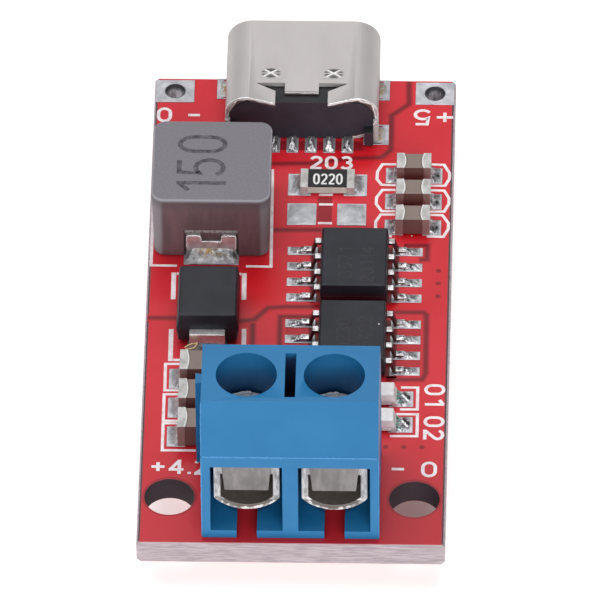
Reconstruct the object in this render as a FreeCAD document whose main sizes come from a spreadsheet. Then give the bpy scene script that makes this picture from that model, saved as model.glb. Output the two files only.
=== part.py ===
import FreeCAD, Part
import Sketcher
import math
import os
import re

# Charger module: a small red circuit board with a USB-C socket at its rear edge, a power inductor,
# a rectifier diode, two eight-lead chips, chip resistors and capacitors, two indicator lamps and,
# at the front edge, a two-pole screw terminal whose cages rise as their screws are turned.
# Millimetres. Origin: midway between the two mounting holes, on the board's underside.
# +X to the right, +Y towards the socket, +Z up through the board.

doc = FreeCAD.newDocument("charger_module")
sheet = doc.addObject("Spreadsheet::Sheet", "Sizes")

SIZES = [
    # Circuit board
    ("board_width", 17.6, "between the scored long edges"),
    ("board_length", 37.8, "front edge to rear edge"),
    ("board_thick", 1.6, "glass laminate"),
    ("front_margin", 3.6, "mounting hole centre to front edge"),
    ("mount_spacing", 14.0, "between mounting hole centres"),
    ("mount_hole", 2.9, "mounting hole diameter"),
    ("score_bevel", 0.22, "bevel that the score line leaves on a long edge"),
    ("via_hole", 0.35, "plated via diameter"),
    ("via_pitch", 1.04, "between vias in a row"),
    ("front_via_x", 5.27, "first via of the front row"),
    ("front_via_y", 4.17, "front row of vias"),
    ("side_via_margin", 0.75, "side column of vias to the long edge"),
    ("side_via_y", 16.42, "first via of the side column"),
    ("land_thick", 0.05, "tinned copper land above the board face"),
    ("solder_rise", 0.35, "share of a part's end that solder climbs"),
    # Input solder holes beside the socket
    ("input_hole", 1.2, "plated hole diameter"),
    ("input_side_margin", 1.2, "input hole centre to the long edge"),
    ("input_margin", 1.06, "input hole centre to rear edge"),
    ("input_land_width", 2.27, "land across"),
    ("input_land_length", 1.85, "land along the board"),
    # USB-C socket
    ("socket_shift", -0.1, "socket's centre line from the board's"),
    ("socket_overhang", 1.62, "mouth beyond the rear edge"),
    ("shell_width", 8.94, "outside"),
    ("shell_height", 3.26, "outside"),
    ("shell_wall", 0.3, "sheet steel"),
    ("shell_corner", 1.5, "outside corner radius"),
    ("shell_length", 6.45, "mouth to straight rear edge"),
    ("bridge_set", 0.56, "centre bridge's end ahead of the rear edge"),
    ("bridge_width", 1.98, "centre bridge between its two windows"),
    ("window_reach", 2.6, "tip of a window from the centre"),
    ("window_set", 1.25, "window's front edge ahead of the rear edge"),
    ("window_tip", 0.08, "window's length at its tip"),
    ("slot_width", 0.54, "slot from window to rear edge"),
    ("flap_reach", 0.48, "flap's inner corner behind the rear edge"),
    ("flap_start", 3.1, "flap's outer end from the centre"),
    ("dimple_x", 1.83, "punched dimple from the centre"),
    ("dimple_set", 4.43, "punched dimple from the mouth"),
    ("dimple_width", 0.95, "punched dimple across"),
    ("dimple_length", 0.52, "punched dimple along the shell"),
    ("dimple_depth", 0.14, "punched dimple"),
    ("leg_width", 1.1, "shell leg along the board"),
    ("leg_below", 0.3, "leg below the board"),
    ("leg_taper", 0.22, "leg narrows by this on each side at its tip"),
    ("leg_front_set", 6.15, "inner leg row from the mouth"),
    ("leg_rear_set", 2.45, "outer leg row from the mouth"),
    ("leg_slot_room", 0.2, "slot in the board around a leg"),
    ("leg_land_width", 1.48, "land around a leg slot"),
    ("leg_land_length", 1.66, "land around a leg slot, along the board"),
    ("insert_gap", 0.02, "between the moulded insert and the shell"),
    ("floor_cut_width", 5.9, "opening in the shell's floor for the contact tails"),
    ("floor_cut_length", 1.6, "opening in the shell's floor for the contact tails"),
    ("insert_rear", 0.06, "insert's end behind the shell's rear edge"),
    ("insert_depth", 2.05, "insert's solid back part"),
    ("insert_foot_width", 0.5, "rear corner foot across"),
    ("insert_foot_length", 0.6, "rear corner foot along the board"),
    ("insert_foot_height", 1.1, "rear corner foot above the board"),
    ("tongue_width", 6.69, "contact tongue"),
    ("tongue_thick", 0.7, "contact tongue"),
    ("tongue_set", 0.75, "tongue's end inside the mouth"),
    ("contact_pitch", 1.07, "inner contacts"),
    ("contact_outer", 2.67, "outermost contact from the centre"),
    ("contact_width", 0.42, "contact strip"),
    ("contact_thick", 0.15, "contact strip"),
    ("contact_tip_set", 1.25, "contact's tip inside the mouth"),
    ("contact_bury", 0.5, "contact's riser inside the insert"),
    ("contact_tail", 0.89, "tail behind the insert"),
    ("contact_land_width", 0.7, "land under a tail"),
    ("contact_land_length", 1.25, "land under a tail"),
    # Power inductor
    ("inductor_x", -5.12, "centre"),
    ("inductor_set", 11.52, "centre to the board's rear edge"),
    ("inductor_width", 6.65, "moulded core at its base"),
    ("inductor_length", 6.35, "moulded core at its base"),
    ("inductor_height", 4.6, "top of the core above the lands"),
    ("inductor_draft", 1.5, "degrees, wider at the top"),
    ("inductor_corner", 0.62, "radius of the upright corners"),
    ("inductor_edge", 0.14, "radius of the top edge"),
    ("clip_width", 2.9, "terminal clip"),
    ("clip_height", 1.58, "terminal clip up the core's end"),
    ("clip_thick", 0.2, "terminal clip"),
    ("clip_foot", 1.7, "clip's foot under the core"),
    ("clip_notch_width", 1.21, "notch in the clip's top"),
    ("clip_notch_depth", 0.5, "notch in the clip's top"),
    ("clip_pocket_room", 0.12, "pocket in the core around a clip"),
    ("clip_pocket_rise", 0.5, "pocket's top above the clip"),
    ("clip_pocket_depth", 0.26, "pocket in the core behind a clip"),
    ("clip_land_width", 3.2, "land under a clip"),
    ("clip_land_out", 0.72, "land beyond the core's end"),
    # Rectifier diode
    ("diode_x", -5.15, "centre"),
    ("diode_y", 14.38, "centre"),
    ("diode_width", 3.6, "moulded body at its parting line"),
    ("diode_length", 4.3, "moulded body at its parting line"),
    ("diode_height", 2.3, "top above the lands"),
    ("diode_span", 5.3, "over the bent leads"),
    ("diode_lead_width", 2.05, "flat lead"),
    ("diode_lead_foot", 1.3, "lead's foot, inwards from the bend"),
    ("diode_band", 1.08, "parting band above the lands"),
    ("diode_land_width", 2.3, "land under a lead"),
    ("diode_land_length", 2.0, "land under a lead"),
    # Eight-lead chips
    ("chip_x", 3.2, "centre of both chips"),
    ("driver_y", 18.08, "rear chip"),
    ("control_y", 12.15, "front chip"),
    ("chip_width", 3.9, "moulded body across"),
    ("chip_length", 4.9, "moulded body along the board"),
    ("chip_height", 1.5, "top above the lands"),
    ("chip_standoff", 0.12, "under the body"),
    ("chip_band", 0.68, "parting band above the lands"),
    ("chip_shoulder", 0.22, "lead runs straight out of the body"),
    ("chip_span", 6.0, "over the lead tips"),
    ("chip_pitch", 1.27, "lead pitch"),
    ("chip_lead_width", 0.42, "lead"),
    ("chip_foot", 0.62, "flat foot of a lead"),
    ("chip_land_length", 1.75, "land under a lead"),
    ("chip_land_width", 0.66, "land under a lead"),
    ("chip_land_span", 7.84, "over the outer ends of the lands"),
    ("lead_thick", 0.2, "lead frame strip of the diode and the chips"),
    ("mould_draft", 7.0, "degrees, on the moulded bodies"),
    # Current sense resistor and the bare lands in front of it
    ("sense_x", 1.48, "centre"),
    ("sense_set", 8.75, "centre to the board's rear edge"),
    ("sense_length", 3.15, "across the board"),
    ("sense_width", 1.55, "along the board"),
    ("sense_height", 0.55, "above the lands"),
    ("sense_land_span", 4.6, "over both lands"),
    ("sense_land_length", 1.35, "one land"),
    ("sense_land_width", 1.78, "one land"),
    ("bare_land_set", 11.18, "centre of the bare pair of lands to the rear edge"),
    ("bare_land_length", 1.7, "one bare land"),
    # Input capacitors at the right edge
    ("input_cap_x", 6.5, "centre"),
    ("input_cap_set", 7.92, "rear one's centre to the board's rear edge"),
    ("input_cap_pitch", 2.14, "between centres"),
    ("input_cap_length", 2.0, "across the board"),
    ("input_cap_width", 1.25, "along the board"),
    ("input_cap_height", 1.25, "above the lands"),
    ("input_cap_land_span", 3.3, "over both lands"),
    # Output capacitors at the left edge
    ("output_cap_x", -5.05, "centre"),
    ("output_cap_y", 9.45, "rear one's centre"),
    ("output_cap_pitch", 2.33, "between centres"),
    ("output_cap_length", 3.2, "across the board"),
    ("output_cap_width", 1.6, "along the board"),
    ("output_cap_height", 1.6, "above the lands"),
    ("output_cap_land_span", 4.5, "over both lands"),
    # Indicator lamps at the right edge
    ("lamp_x", 4.85, "centre"),
    ("lamp_y", 8.0, "rear one's centre"),
    ("lamp_pitch", 2.07, "between centres"),
    ("lamp_length", 2.0, "across the board"),
    ("lamp_width", 1.25, "along the board"),
    ("lamp_base", 0.3, "carrier plate"),
    ("lamp_height", 0.85, "top of the lens above the lands"),
    ("lamp_lens_length", 1.92, "moulded lens at its foot"),
    ("lamp_lens_draft", 0.06, "lens narrows by this on each side"),
    ("lamp_land_span", 3.9, "over both lands"),
    # Small resistors behind the terminal
    ("bias_x", -1.2, "left column's centre"),
    ("bias_y", 5.95, "front row's centre"),
    ("bias_pitch_x", 2.45, "between columns"),
    ("bias_pitch_y", 2.05, "between rows"),
    ("bias_length", 1.6, "across the board"),
    ("bias_width", 0.8, "along the board"),
    ("bias_height", 0.45, "above the lands"),
    ("bias_land_span", 2.3, "over both lands"),
    # End caps and coats of the chip parts
    ("cap_wrap", 0.45, "end cap along a chip part"),
    ("bias_wrap", 0.3, "end cap along a small resistor"),
    ("wrap_thick", 0.04, "end cap's skin"),
    ("coat_thick", 0.04, "resistor's glass coat"),
    # Screw terminal housing
    ("terminal_gap", 0.38, "housing's face behind the board's front edge"),
    ("terminal_width", 10.1, "two poles"),
    ("terminal_depth", 7.05, "front to back"),
    ("terminal_height", 10.0, "above the board"),
    ("terminal_pitch", 5.0, "between poles"),
    ("shoulder_height", 6.55, "where the front starts to slope"),
    ("slope_depth", 1.08, "front slope's run"),
    ("back_flat", 5.6, "where the top ends, from the front"),
    ("back_shoulder", 6.5, "foot of the back slope"),
    ("entry_width", 4.1, "wire entry"),
    ("entry_floor", 0.59, "entry's sill above the board"),
    ("entry_top", 5.7, "entry's lintel above the board"),
    ("cavity_depth", 5.85, "entry's depth"),
    ("well_set", 3.2, "screw axis behind the front"),
    ("well_bore", 3.47, "screwdriver port diameter"),
    ("well_floor", 6.1, "shoulder under the screw head"),
    ("neck_bore", 2.8, "hole for the screw's shank"),
    ("key_slot_width", 0.6, "slot between the poles"),
    ("key_slot_length", 3.5, "slot between the poles"),
    ("key_slot_set", 1.44, "slot behind the front"),
    ("key_slot_floor", 6.6, "slot's floor above the board"),
    ("sill_notch", 1.15, "notch in the sill"),
    ("sill_notch_length", 4.2, "notch from the front"),
    ("rail_out", 0.48, "coupling rail beyond the side"),
    ("rail_set", 6.42, "coupling rail's centre from the front"),
    ("rail_root", 0.66, "rail where it leaves the side"),
    ("rail_tip", 0.88, "rail at its outer face"),
    ("rail_height", 6.4, "rail above the board"),
    ("rail_room", 0.04, "groove around a rail"),
    # Contact strips of the terminal
    ("strip_width", 2.5, "contact strip"),
    ("strip_thick", 0.6, "contact strip"),
    ("strip_level", 3.37, "underside of the strip above the board"),
    ("lip_set", 0.5, "upturned lip behind the front"),
    ("lip_thick", 0.3, "upturned lip"),
    ("lip_top", 5.25, "lip's top above the board"),
    ("lip_spread", 0.16, "lip's flare on each side"),
    ("pin_width", 1.0, "solder pin"),
    ("pin_room", 0.03, "slot in the housing's floor around a pin"),
    ("pin_taper", 0.3, "pin's pointed tip"),
    ("pin_below", 1.9, "solder pin below the board"),
    ("pin_hole", 1.35, "plated hole for a pin"),
    ("pin_land", 2.3, "land around a pin"),
    ("pin_solder_height", 1.15, "solder cone under the board"),
    ("pin_solder_tip", 1.36, "solder cone's tip diameter"),
    # Rising cages
    ("cage_width", 3.78, "outside"),
    ("cage_wall", 0.4, "sheet"),
    ("cage_depth", 3.9, "along the wire"),
    ("cage_set", 1.0, "behind the housing's front"),
    ("cage_low", 1.31, "lowest point at rest, above the board"),
    ("cage_knee", 2.25, "where the round bottom meets the sides"),
    ("cage_top", 4.75, "top plate's upper face at rest"),
    ("cage_plate", 0.6, "threaded top plate"),
    # Clamp screws
    ("screw_shank", 2.4, "over the thread"),
    ("screw_running", 0.05, "radial clearance in the cage's thread"),
    ("screw_head", 3.2, "cheese head diameter"),
    ("screw_head_height", 0.9, "cheese head"),
    ("driver_slot_width", 0.5, "screwdriver slot"),
    ("driver_slot_depth", 0.45, "screwdriver slot"),
]

for row, (word, size, note) in enumerate(SIZES, start=1):
    sheet.set(f"A{row}", note)
    sheet.set(f"B{row}", str(size))
    sheet.setAlias(f"B{row}", word)
doc.recompute()

CHIP_LEADS = 4
VIAS = 3
WORD = re.compile(r"\b[a-z][a-z_]*\b(?!\s*\()")
PLANES = {"XY": "XY_Plane", "XZ": "XZ_Plane", "YZ": "YZ_Plane"}
ON_LAND = "(board_thick + land_thick)"
MOUTH = "(board_length - front_margin + socket_overhang)"
TERMINAL_FRONT = "(terminal_gap - front_margin)"


def formula(text):
    """Turn sheet words in a plain formula into references to the sheet."""
    return WORD.sub(lambda found: "Sizes." + found.group(), str(text))


def number(text):
    """Value of a plain formula, in millimetres or degrees."""
    return float(sheet.evalExpression(formula(text)))


def bind(thing, prop, text):
    """Tie one property of a document object to a formula on the sheet."""
    thing.setExpression(prop, formula(text))


def place(thing, across="0", along="0", up="0", turn=FreeCAD.Rotation()):
    """Give an object its seat: a fixed turn and a bound position."""
    thing.Placement = FreeCAD.Placement(FreeCAD.Vector(), turn)
    bind(thing, "Placement.Base.x", across)
    bind(thing, "Placement.Base.y", along)
    bind(thing, "Placement.Base.z", up)
    return thing


def new_body(label):
    """Empty body with its final name."""
    body = doc.addObject("PartDesign::Body", label)
    body.Label = label
    return body


def sketch(body, plane, offset="0"):
    """Sketch on one of the body's own origin planes, moved off it by a formula."""
    role = PLANES[plane]
    support = next(item for item in body.Origin.OriginFeatures if item.Role == role)
    drawing = body.newObject("Sketcher::SketchObject", f"{body.Name}_sketch")
    drawing.AttachmentSupport = [(support, "")]
    drawing.MapMode = "FlatFace"
    bind(drawing, "AttachmentOffset.Base.z", offset)
    return drawing


def pin_point(drawing, edge, end, across, up):
    """Hold one end of an edge at a pair of formulas from the sketch's origin."""
    for kind, text in (("DistanceX", across), ("DistanceY", up)):
        rule = Sketcher.Constraint(kind, -1, 1, edge, end, number(text))
        bind(drawing, f"Constraints[{drawing.addConstraint(rule)}]", text)


def outline(drawing, corners):
    """Closed outline through corners, each (across, up) or (across, up, radius).

    A corner with a radius starts an arc to the next corner that swells to its right, which is
    outwards on an outline drawn anticlockwise; a minus sign before the radius swells it left.
    """
    first = drawing.GeometryCount
    spots = [FreeCAD.Vector(number(corner[0]), number(corner[1]), 0) for corner in corners]
    swapped = set()
    for index, corner in enumerate(corners):
        start = spots[index]
        stop = spots[(index + 1) % len(spots)]
        if len(corner) == 2:
            drawing.addGeometry(Part.LineSegment(start, stop), False)
            continue
        text = corner[2]
        inward = text.startswith("-")
        radius = number(text.lstrip("-"))
        chord = stop - start
        half = chord.Length / 2
        rightward = FreeCAD.Vector(chord.y, -chord.x, 0).normalize()
        if inward:
            rightward = rightward * -1
        sag = radius - math.sqrt(radius ** 2 - half ** 2)
        middle = start + chord * 0.5 + rightward * sag
        drawing.addGeometry(Part.Arc(start, middle, stop), False)
        rule = Sketcher.Constraint("Radius", first + index, radius)
        bind(drawing, f"Constraints[{drawing.addConstraint(rule)}]", text.lstrip("-"))
        if inward:
            swapped.add(index)
    for index, corner in enumerate(corners):
        after = (index + 1) % len(corners)
        leaving = 1 if index in swapped else 2
        arriving = 2 if after in swapped else 1
        rule = Sketcher.Constraint("Coincident", first + index, leaving, first + after, arriving)
        drawing.addConstraint(rule)
        pin_point(drawing, first + index, 2 if index in swapped else 1, corner[0], corner[1])


def rectangle(drawing, left, low, right, high):
    """Plain rectangle between two opposite corners."""
    outline(drawing, [(left, low), (right, low), (right, high), (left, high)])


def rounded_rectangle(drawing, left, low, right, high, radius):
    """Rectangle with round corners, drawn anticlockwise from its lower side."""
    outline(drawing, [
        (f"{left} + {radius}", low),
        (f"{right} - {radius}", low, radius),
        (right, f"{low} + {radius}"),
        (right, f"{high} - {radius}", radius),
        (f"{right} - {radius}", high),
        (f"{left} + {radius}", high, radius),
        (left, f"{high} - {radius}"),
        (left, f"{low} + {radius}", radius),
    ])


def circle(drawing, across, up, diameter):
    """Circle held at a pair of formulas."""
    spot = FreeCAD.Vector(number(across), number(up), 0)
    ring = Part.Circle(spot, FreeCAD.Vector(0, 0, 1), number(diameter) / 2)
    edge = drawing.addGeometry(ring, False)
    pin_point(drawing, edge, 3, across, up)
    rule = Sketcher.Constraint("Diameter", edge, number(diameter))
    bind(drawing, f"Constraints[{drawing.addConstraint(rule)}]", diameter)


def pad(body, drawing, length, back=False, both=False, draft=None):
    """Pad a sketch by a formula, along its normal unless back is set."""
    feature = body.newObject("PartDesign::Pad", f"{body.Name}_pad")
    feature.Profile = drawing
    feature.Reversed = back
    feature.Midplane = both
    bind(feature, "Length", length)
    if draft is not None:
        bind(feature, "TaperAngle", draft)
    doc.recompute()
    return feature


def pocket(body, drawing, length, along_normal=False):
    """Pocket a sketch by a formula, against its normal unless along_normal is set."""
    feature = body.newObject("PartDesign::Pocket", f"{body.Name}_pocket")
    feature.Profile = drawing
    feature.Reversed = along_normal
    bind(feature, "Length", length)
    doc.recompute()
    return feature


def mirror(body, features, plane="YZ"):
    """Repeat features on the other side of one of the body's origin planes."""
    role = PLANES[plane]
    support = next(item for item in body.Origin.OriginFeatures if item.Role == role)
    feature = body.newObject("PartDesign::Mirrored", f"{body.Name}_mirror")
    feature.Originals = features
    feature.MirrorPlane = (support, [""])
    body.Tip = feature
    doc.recompute()
    return feature


def row_of(body, features, axis, length, count):
    """Repeat features in a straight row along one of the body's origin axes."""
    support = next(item for item in body.Origin.OriginFeatures if item.Role == axis)
    feature = body.newObject("PartDesign::LinearPattern", f"{body.Name}_row")
    feature.Originals = features
    feature.Direction = (support, [""])
    bind(feature, "Length", length)
    feature.Occurrences = count
    body.Tip = feature
    doc.recompute()
    return feature


def edges_where(shape, test):
    """Names of the edges whose start and end points pass a test together."""
    names = []
    for index, edge in enumerate(shape.Edges, start=1):
        ends = [vertex.Point for vertex in edge.Vertexes]
        if len(ends) == 2 and test(ends[0], ends[1]):
            names.append(f"Edge{index}")
    return names


def box(name, length, width, height, across="0", along="0", up="0"):
    """Block whose formulas give its size and its low corner."""
    block = doc.addObject("Part::Box", name)
    bind(block, "Length", length)
    bind(block, "Width", width)
    bind(block, "Height", height)
    return place(block, across, along, up)


def centred_box(name, length, width, height, across, along, up):
    """Block centred over a point, standing on a level."""
    low_across = f"{across} - ({length}) / 2"
    low_along = f"{along} - ({width}) / 2"
    return box(name, length, width, height, low_across, low_along, up)


def cylinder(name, radius, height, across, along, up):
    """Upright cylinder standing on a level."""
    drum = doc.addObject("Part::Cylinder", name)
    bind(drum, "Radius", radius)
    bind(drum, "Height", height)
    return place(drum, across, along, up)


def cut(name, base, tool):
    """Base without tool."""
    result = doc.addObject("Part::Cut", name)
    result.Base = base
    result.Tool = tool
    return result


def group(name, members):
    """Several separate solids under one name."""
    result = doc.addObject("Part::Compound", name)
    result.Links = members
    result.Label = name
    return result


subparts = []
lands = []
joints = []


def keep(thing, label):
    """Mark an object as a finished sub-part under its own label."""
    thing.Label = label
    subparts.append(thing)
    return thing


def land(name, length, width, across, along):
    """Tinned land on the board's upper face."""
    lands.append(centred_box(name, length, width, "land_thick", across, along, "board_thick"))


# A joint's solder climbs from the land's free end up the part's end face: a wedge.
HEADINGS = {"right": 0, "rear": 90, "left": 180, "front": 270}


def solder_wedge(name, heading, length, width, height, across, along):
    """Wedge of solder that starts at a part's end face and runs out to the land's end."""
    wedge = doc.addObject("Part::Wedge", name)
    bind(wedge, "Xmin", "0")
    bind(wedge, "X2min", "0")
    bind(wedge, "Xmax", length)
    bind(wedge, "X2max", f"({length}) / 6")
    bind(wedge, "Ymin", "0")
    bind(wedge, "Ymax", height)
    bind(wedge, "Zmin", f"-({width}) / 2")
    bind(wedge, "Zmax", f"({width}) / 2")
    bind(wedge, "Z2min", f"-({width}) / 2.3")
    bind(wedge, "Z2max", f"({width}) / 2.3")
    upright = FreeCAD.Rotation(FreeCAD.Vector(1, 0, 0), 90)
    heading_turn = FreeCAD.Rotation(FreeCAD.Vector(0, 0, 1), HEADINGS[heading])
    place(wedge, across, along, ON_LAND, heading_turn * upright)
    joints.append(wedge)


def end_joints(name, span, part_length, width, height, across, along):
    """Pair of lands and pair of solder wedges at the ends of a chip part that lies across."""
    land_length = f"(({span}) - ({part_length})) / 2 + cap_wrap"
    reach = f"(({span}) - ({part_length})) / 2 * 0.86"
    middle = f"(({span}) - ({land_length})) / 2"
    land(f"{name}_left_land", land_length, width, f"{across} - {middle}", along)
    land(f"{name}_right_land", land_length, width, f"{across} + {middle}", along)
    left_end = f"{across} - ({part_length}) / 2"
    right_end = f"{across} + ({part_length}) / 2"
    solder_wedge(f"{name}_left_solder", "left", reach, width, height, left_end, along)
    solder_wedge(f"{name}_right_solder", "right", reach, width, height, right_end, along)


def chip_part(name, length, width, height, wrap, across, along):
    """Ceramic block and its two wrapped metal ends, each end a five-sided cap."""
    core = centred_box(f"{name}_core", f"{length} - 2 * wrap_thick", f"{width} - 2 * wrap_thick",
                       f"{height} - 2 * wrap_thick", across, along, f"{ON_LAND} + wrap_thick")
    left_start = f"{across} - ({length}) / 2"
    right_start = f"{across} + ({length}) / 2 - {wrap}"
    low_along = f"{along} - ({width}) / 2"
    left = box(f"{name}_left_block", wrap, width, height, left_start, low_along, ON_LAND)
    right = box(f"{name}_right_block", wrap, width, height, right_start, low_along, ON_LAND)
    left_cap = cut(f"{name}_left_cap", left, core)
    right_cap = cut(f"{name}_right_cap", right, core)
    return core, [left_cap, right_cap]


# The board: glass laminate, panel-scored along its long edges and routed across the short ones.
# Holes: two for screws, two plated for input wires, two for the terminal's pins, four slots for
# the socket's legs, and two short rows of vias.
REAR_EDGE = "(board_length - front_margin)"
INPUT_X = "(board_width / 2 - input_side_margin)"
INPUT_Y = "(board_length - front_margin - input_margin)"
INDUCTOR_Y = "(board_length - front_margin - inductor_set)"
SENSE_Y = "(board_length - front_margin - sense_set)"
BARE_LAND_Y = "(board_length - front_margin - bare_land_set)"
PIN_SET = "(cavity_depth - strip_thick / 2)"
PIN_Y = f"({TERMINAL_FRONT} + {PIN_SET})"
LEG_X = "(shell_width / 2 - shell_wall / 2)"
LEG_ROWS = ("leg_front_set", "leg_rear_set")
SIDES = {"left": "-", "right": ""}
NARROW = "(leg_slot_room + shell_wall / 2)"
LONG = "(leg_slot_room + leg_width / 2)"


def circuit_board():
    body = new_body("circuit_board")
    face = sketch(body, "XY")
    rectangle(face, "-board_width / 2", "-front_margin", "board_width / 2", REAR_EDGE)
    plate = pad(body, face, "board_thick")

    def runs_lengthwise(start, stop):
        return abs(start.x - stop.x) < 0.001 and abs(start.z - stop.z) < 0.001
    bevels = body.newObject("PartDesign::Chamfer", "score_bevels")
    bevels.Base = (plate, edges_where(plate.Shape, runs_lengthwise))
    bind(bevels, "Size", "score_bevel")

    drills = sketch(body, "XY", "board_thick")
    for sign in SIDES.values():
        circle(drills, f"{sign}mount_spacing / 2", "0", "mount_hole")
        circle(drills, f"{sign}{INPUT_X}", INPUT_Y, "input_hole")
        circle(drills, f"{sign}terminal_pitch / 2", PIN_Y, "pin_hole")
    pocket(body, drills, "board_thick")

    slots = sketch(body, "XY", "board_thick")
    for sign in SIDES.values():
        for leg_row in LEG_ROWS:
            middle = f"({MOUTH} - {leg_row})"
            across = f"(socket_shift {sign or '+'} {LEG_X})"
            rounded_rectangle(slots, f"{across} - {NARROW}", f"{middle} - {LONG}",
                              f"{across} + {NARROW}", f"{middle} + {LONG}",
                              "(leg_slot_room + shell_wall / 4)")
    pocket(body, slots, "board_thick")

    front_via = sketch(body, "XY", "board_thick")
    circle(front_via, "front_via_x", "front_via_y", "via_hole")
    first_front = pocket(body, front_via, "board_thick")
    row_of(body, [first_front], "X_Axis", f"via_pitch * {VIAS - 1}", VIAS)
    side_via = sketch(body, "XY", "board_thick")
    circle(side_via, "board_width / 2 - side_via_margin", "side_via_y", "via_hole")
    first_side = pocket(body, side_via, "board_thick")
    row_of(body, [first_side], "Y_Axis", f"via_pitch * {VIAS - 1}", VIAS)
    keep(body, "circuit_board")


# Lands that have a hole: input holes on both faces, the socket's legs and the terminal's pins.
FACES = {"upper": "board_thick", "under": "-land_thick"}


def holed_lands():
    for face, level in FACES.items():
        for side, sign in SIDES.items():
            across = f"{sign}{INPUT_X}"
            plate = centred_box(f"{face}_{side}_input_plate", "input_land_width",
                                "input_land_length", "land_thick", across, INPUT_Y, level)
            drill = cylinder(f"{face}_{side}_input_drill", "input_hole / 2", "land_thick",
                             across, INPUT_Y, level)
            lands.append(cut(f"{face}_{side}_input_land", plate, drill))
            for leg_row in LEG_ROWS:
                spot = (f"socket_shift {sign or '+'} {LEG_X}", f"{MOUTH} - {leg_row}")
                plate = centred_box(f"{face}_{side}_{leg_row}_plate", "leg_land_width",
                                    "leg_land_length", "land_thick", *spot, level)
                drill = centred_box(f"{face}_{side}_{leg_row}_drill", f"2 * {NARROW}",
                                    f"2 * {LONG}", "land_thick", *spot, level)
                lands.append(cut(f"{face}_{side}_{leg_row}_land", plate, drill))
    for side, sign in SIDES.items():
        spot = (f"{sign}terminal_pitch / 2", PIN_Y, "-land_thick")
        plate = cylinder(f"{side}_pin_plate", "pin_land / 2", "land_thick", *spot)
        drill = cylinder(f"{side}_pin_drill", "pin_hole / 2", "land_thick", *spot)
        lands.append(cut(f"{side}_pin_land", plate, drill))


# The socket: a deep-drawn steel shell with a stadium mouth, open windows behind it, two rear
# flaps and four legs; a black moulded insert with its tongue; six sprung contact strips.
def usb_shell():
    body = new_body("usb_shell")
    mouth = sketch(body, "XZ")
    rounded_rectangle(mouth, "-shell_width / 2", "0", "shell_width / 2", "shell_height",
                      "shell_corner")
    rounded_rectangle(mouth, "-shell_width / 2 + shell_wall", "shell_wall",
                      "shell_width / 2 - shell_wall", "shell_height - shell_wall",
                      "(shell_corner - shell_wall)")
    pad(body, mouth, "shell_length")

    slot_side = "(bridge_width / 2 + slot_width)"
    flap = sketch(body, "XY", "shell_height - shell_wall")
    outline(flap, [
        (slot_side, "-shell_length"),
        (slot_side, "-shell_length - flap_reach"),
        ("flap_start", "-shell_length"),
    ])
    flaps = pad(body, flap, "shell_wall")
    window = sketch(body, "XY", "shell_height")
    outline(window, [
        ("0", "-shell_length"),
        (slot_side, "-shell_length"),
        (slot_side, "-shell_length + bridge_set"),
        ("window_reach", "-shell_length + window_set - window_tip"),
        ("window_reach", "-shell_length + window_set"),
        ("bridge_width / 2", "-shell_length + window_set"),
        ("bridge_width / 2", "-shell_length + bridge_set"),
        ("0", "-shell_length + bridge_set"),
    ])
    windows = pocket(body, window, "shell_wall")
    dimple = sketch(body, "XY", "shell_height")
    rectangle(dimple, "dimple_x - dimple_width / 2", "-dimple_set - dimple_length / 2",
              "dimple_x + dimple_width / 2", "-dimple_set + dimple_length / 2")
    dimples = pocket(body, dimple, "dimple_depth")
    floor = sketch(body, "XY")
    rectangle(floor, "-floor_cut_width / 2", "-shell_length", "floor_cut_width / 2",
              "-shell_length + floor_cut_length")
    pocket(body, floor, "shell_wall", along_normal=True)
    legs = sketch(body, "YZ", "shell_width / 2 - shell_wall")
    foot = "-board_thick - leg_below"
    for leg_row in LEG_ROWS:
        outline(legs, [
            (f"-{leg_row} - leg_width / 2 + leg_taper", foot),
            (f"-{leg_row} + leg_width / 2 - leg_taper", foot),
            (f"-{leg_row} + leg_width / 2", f"{foot} + 2 * leg_taper"),
            (f"-{leg_row} + leg_width / 2", "shell_height / 2"),
            (f"-{leg_row} - leg_width / 2", "shell_height / 2"),
            (f"-{leg_row} - leg_width / 2", f"{foot} + 2 * leg_taper"),
        ])
    side_legs = pad(body, legs, "shell_wall")
    mirror(body, [flaps, windows, dimples, side_legs])
    place(body, "socket_shift", MOUTH, "board_thick")
    return keep(body, "usb_shell")


TONGUE_TOP = "(shell_height / 2 + tongue_thick / 2)"
INSERT_END = "(shell_length + insert_rear)"


def usb_contacts():
    body = new_body("usb_contacts")
    riser = f"({INSERT_END} - contact_bury)"
    strip_low = f"({TONGUE_TOP} - contact_thick)"
    spots = ("contact_pitch / 2", "contact_pitch * 1.5", "contact_outer")
    blades = []
    for spot in spots:
        side_view = sketch(body, "YZ", f"{spot} - contact_width / 2")
        outline(side_view, [
            (f"-{INSERT_END} - contact_tail", "land_thick"),
            (f"-{riser}", "land_thick"),
            (f"-{riser}", strip_low),
            ("-contact_tip_set", strip_low),
            ("-contact_tip_set", TONGUE_TOP),
            (f"-{riser} - contact_thick", TONGUE_TOP),
            (f"-{riser} - contact_thick", "land_thick + contact_thick"),
            (f"-{INSERT_END} - contact_tail", "land_thick + contact_thick"),
        ])
        blades.append(pad(body, side_view, "contact_width"))
    mirror(body, blades)
    place(body, "socket_shift", MOUTH, "board_thick")
    for sign in SIDES.values():
        for spot in spots:
            across = f"(socket_shift {sign or '+'} ({spot}))"
            tail_end = f"{MOUTH} - {INSERT_END} - contact_tail"
            land("contact_land", "contact_land_width", "contact_land_length", across,
                 f"{tail_end} + contact_land_length / 2 - contact_thick * 2")
            solder_wedge("contact_solder", "front", "contact_thick * 1.8",
                         "contact_land_width * 0.9", "contact_thick * 0.9", across, tail_end)
    return keep(body, "usb_contacts")


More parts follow.
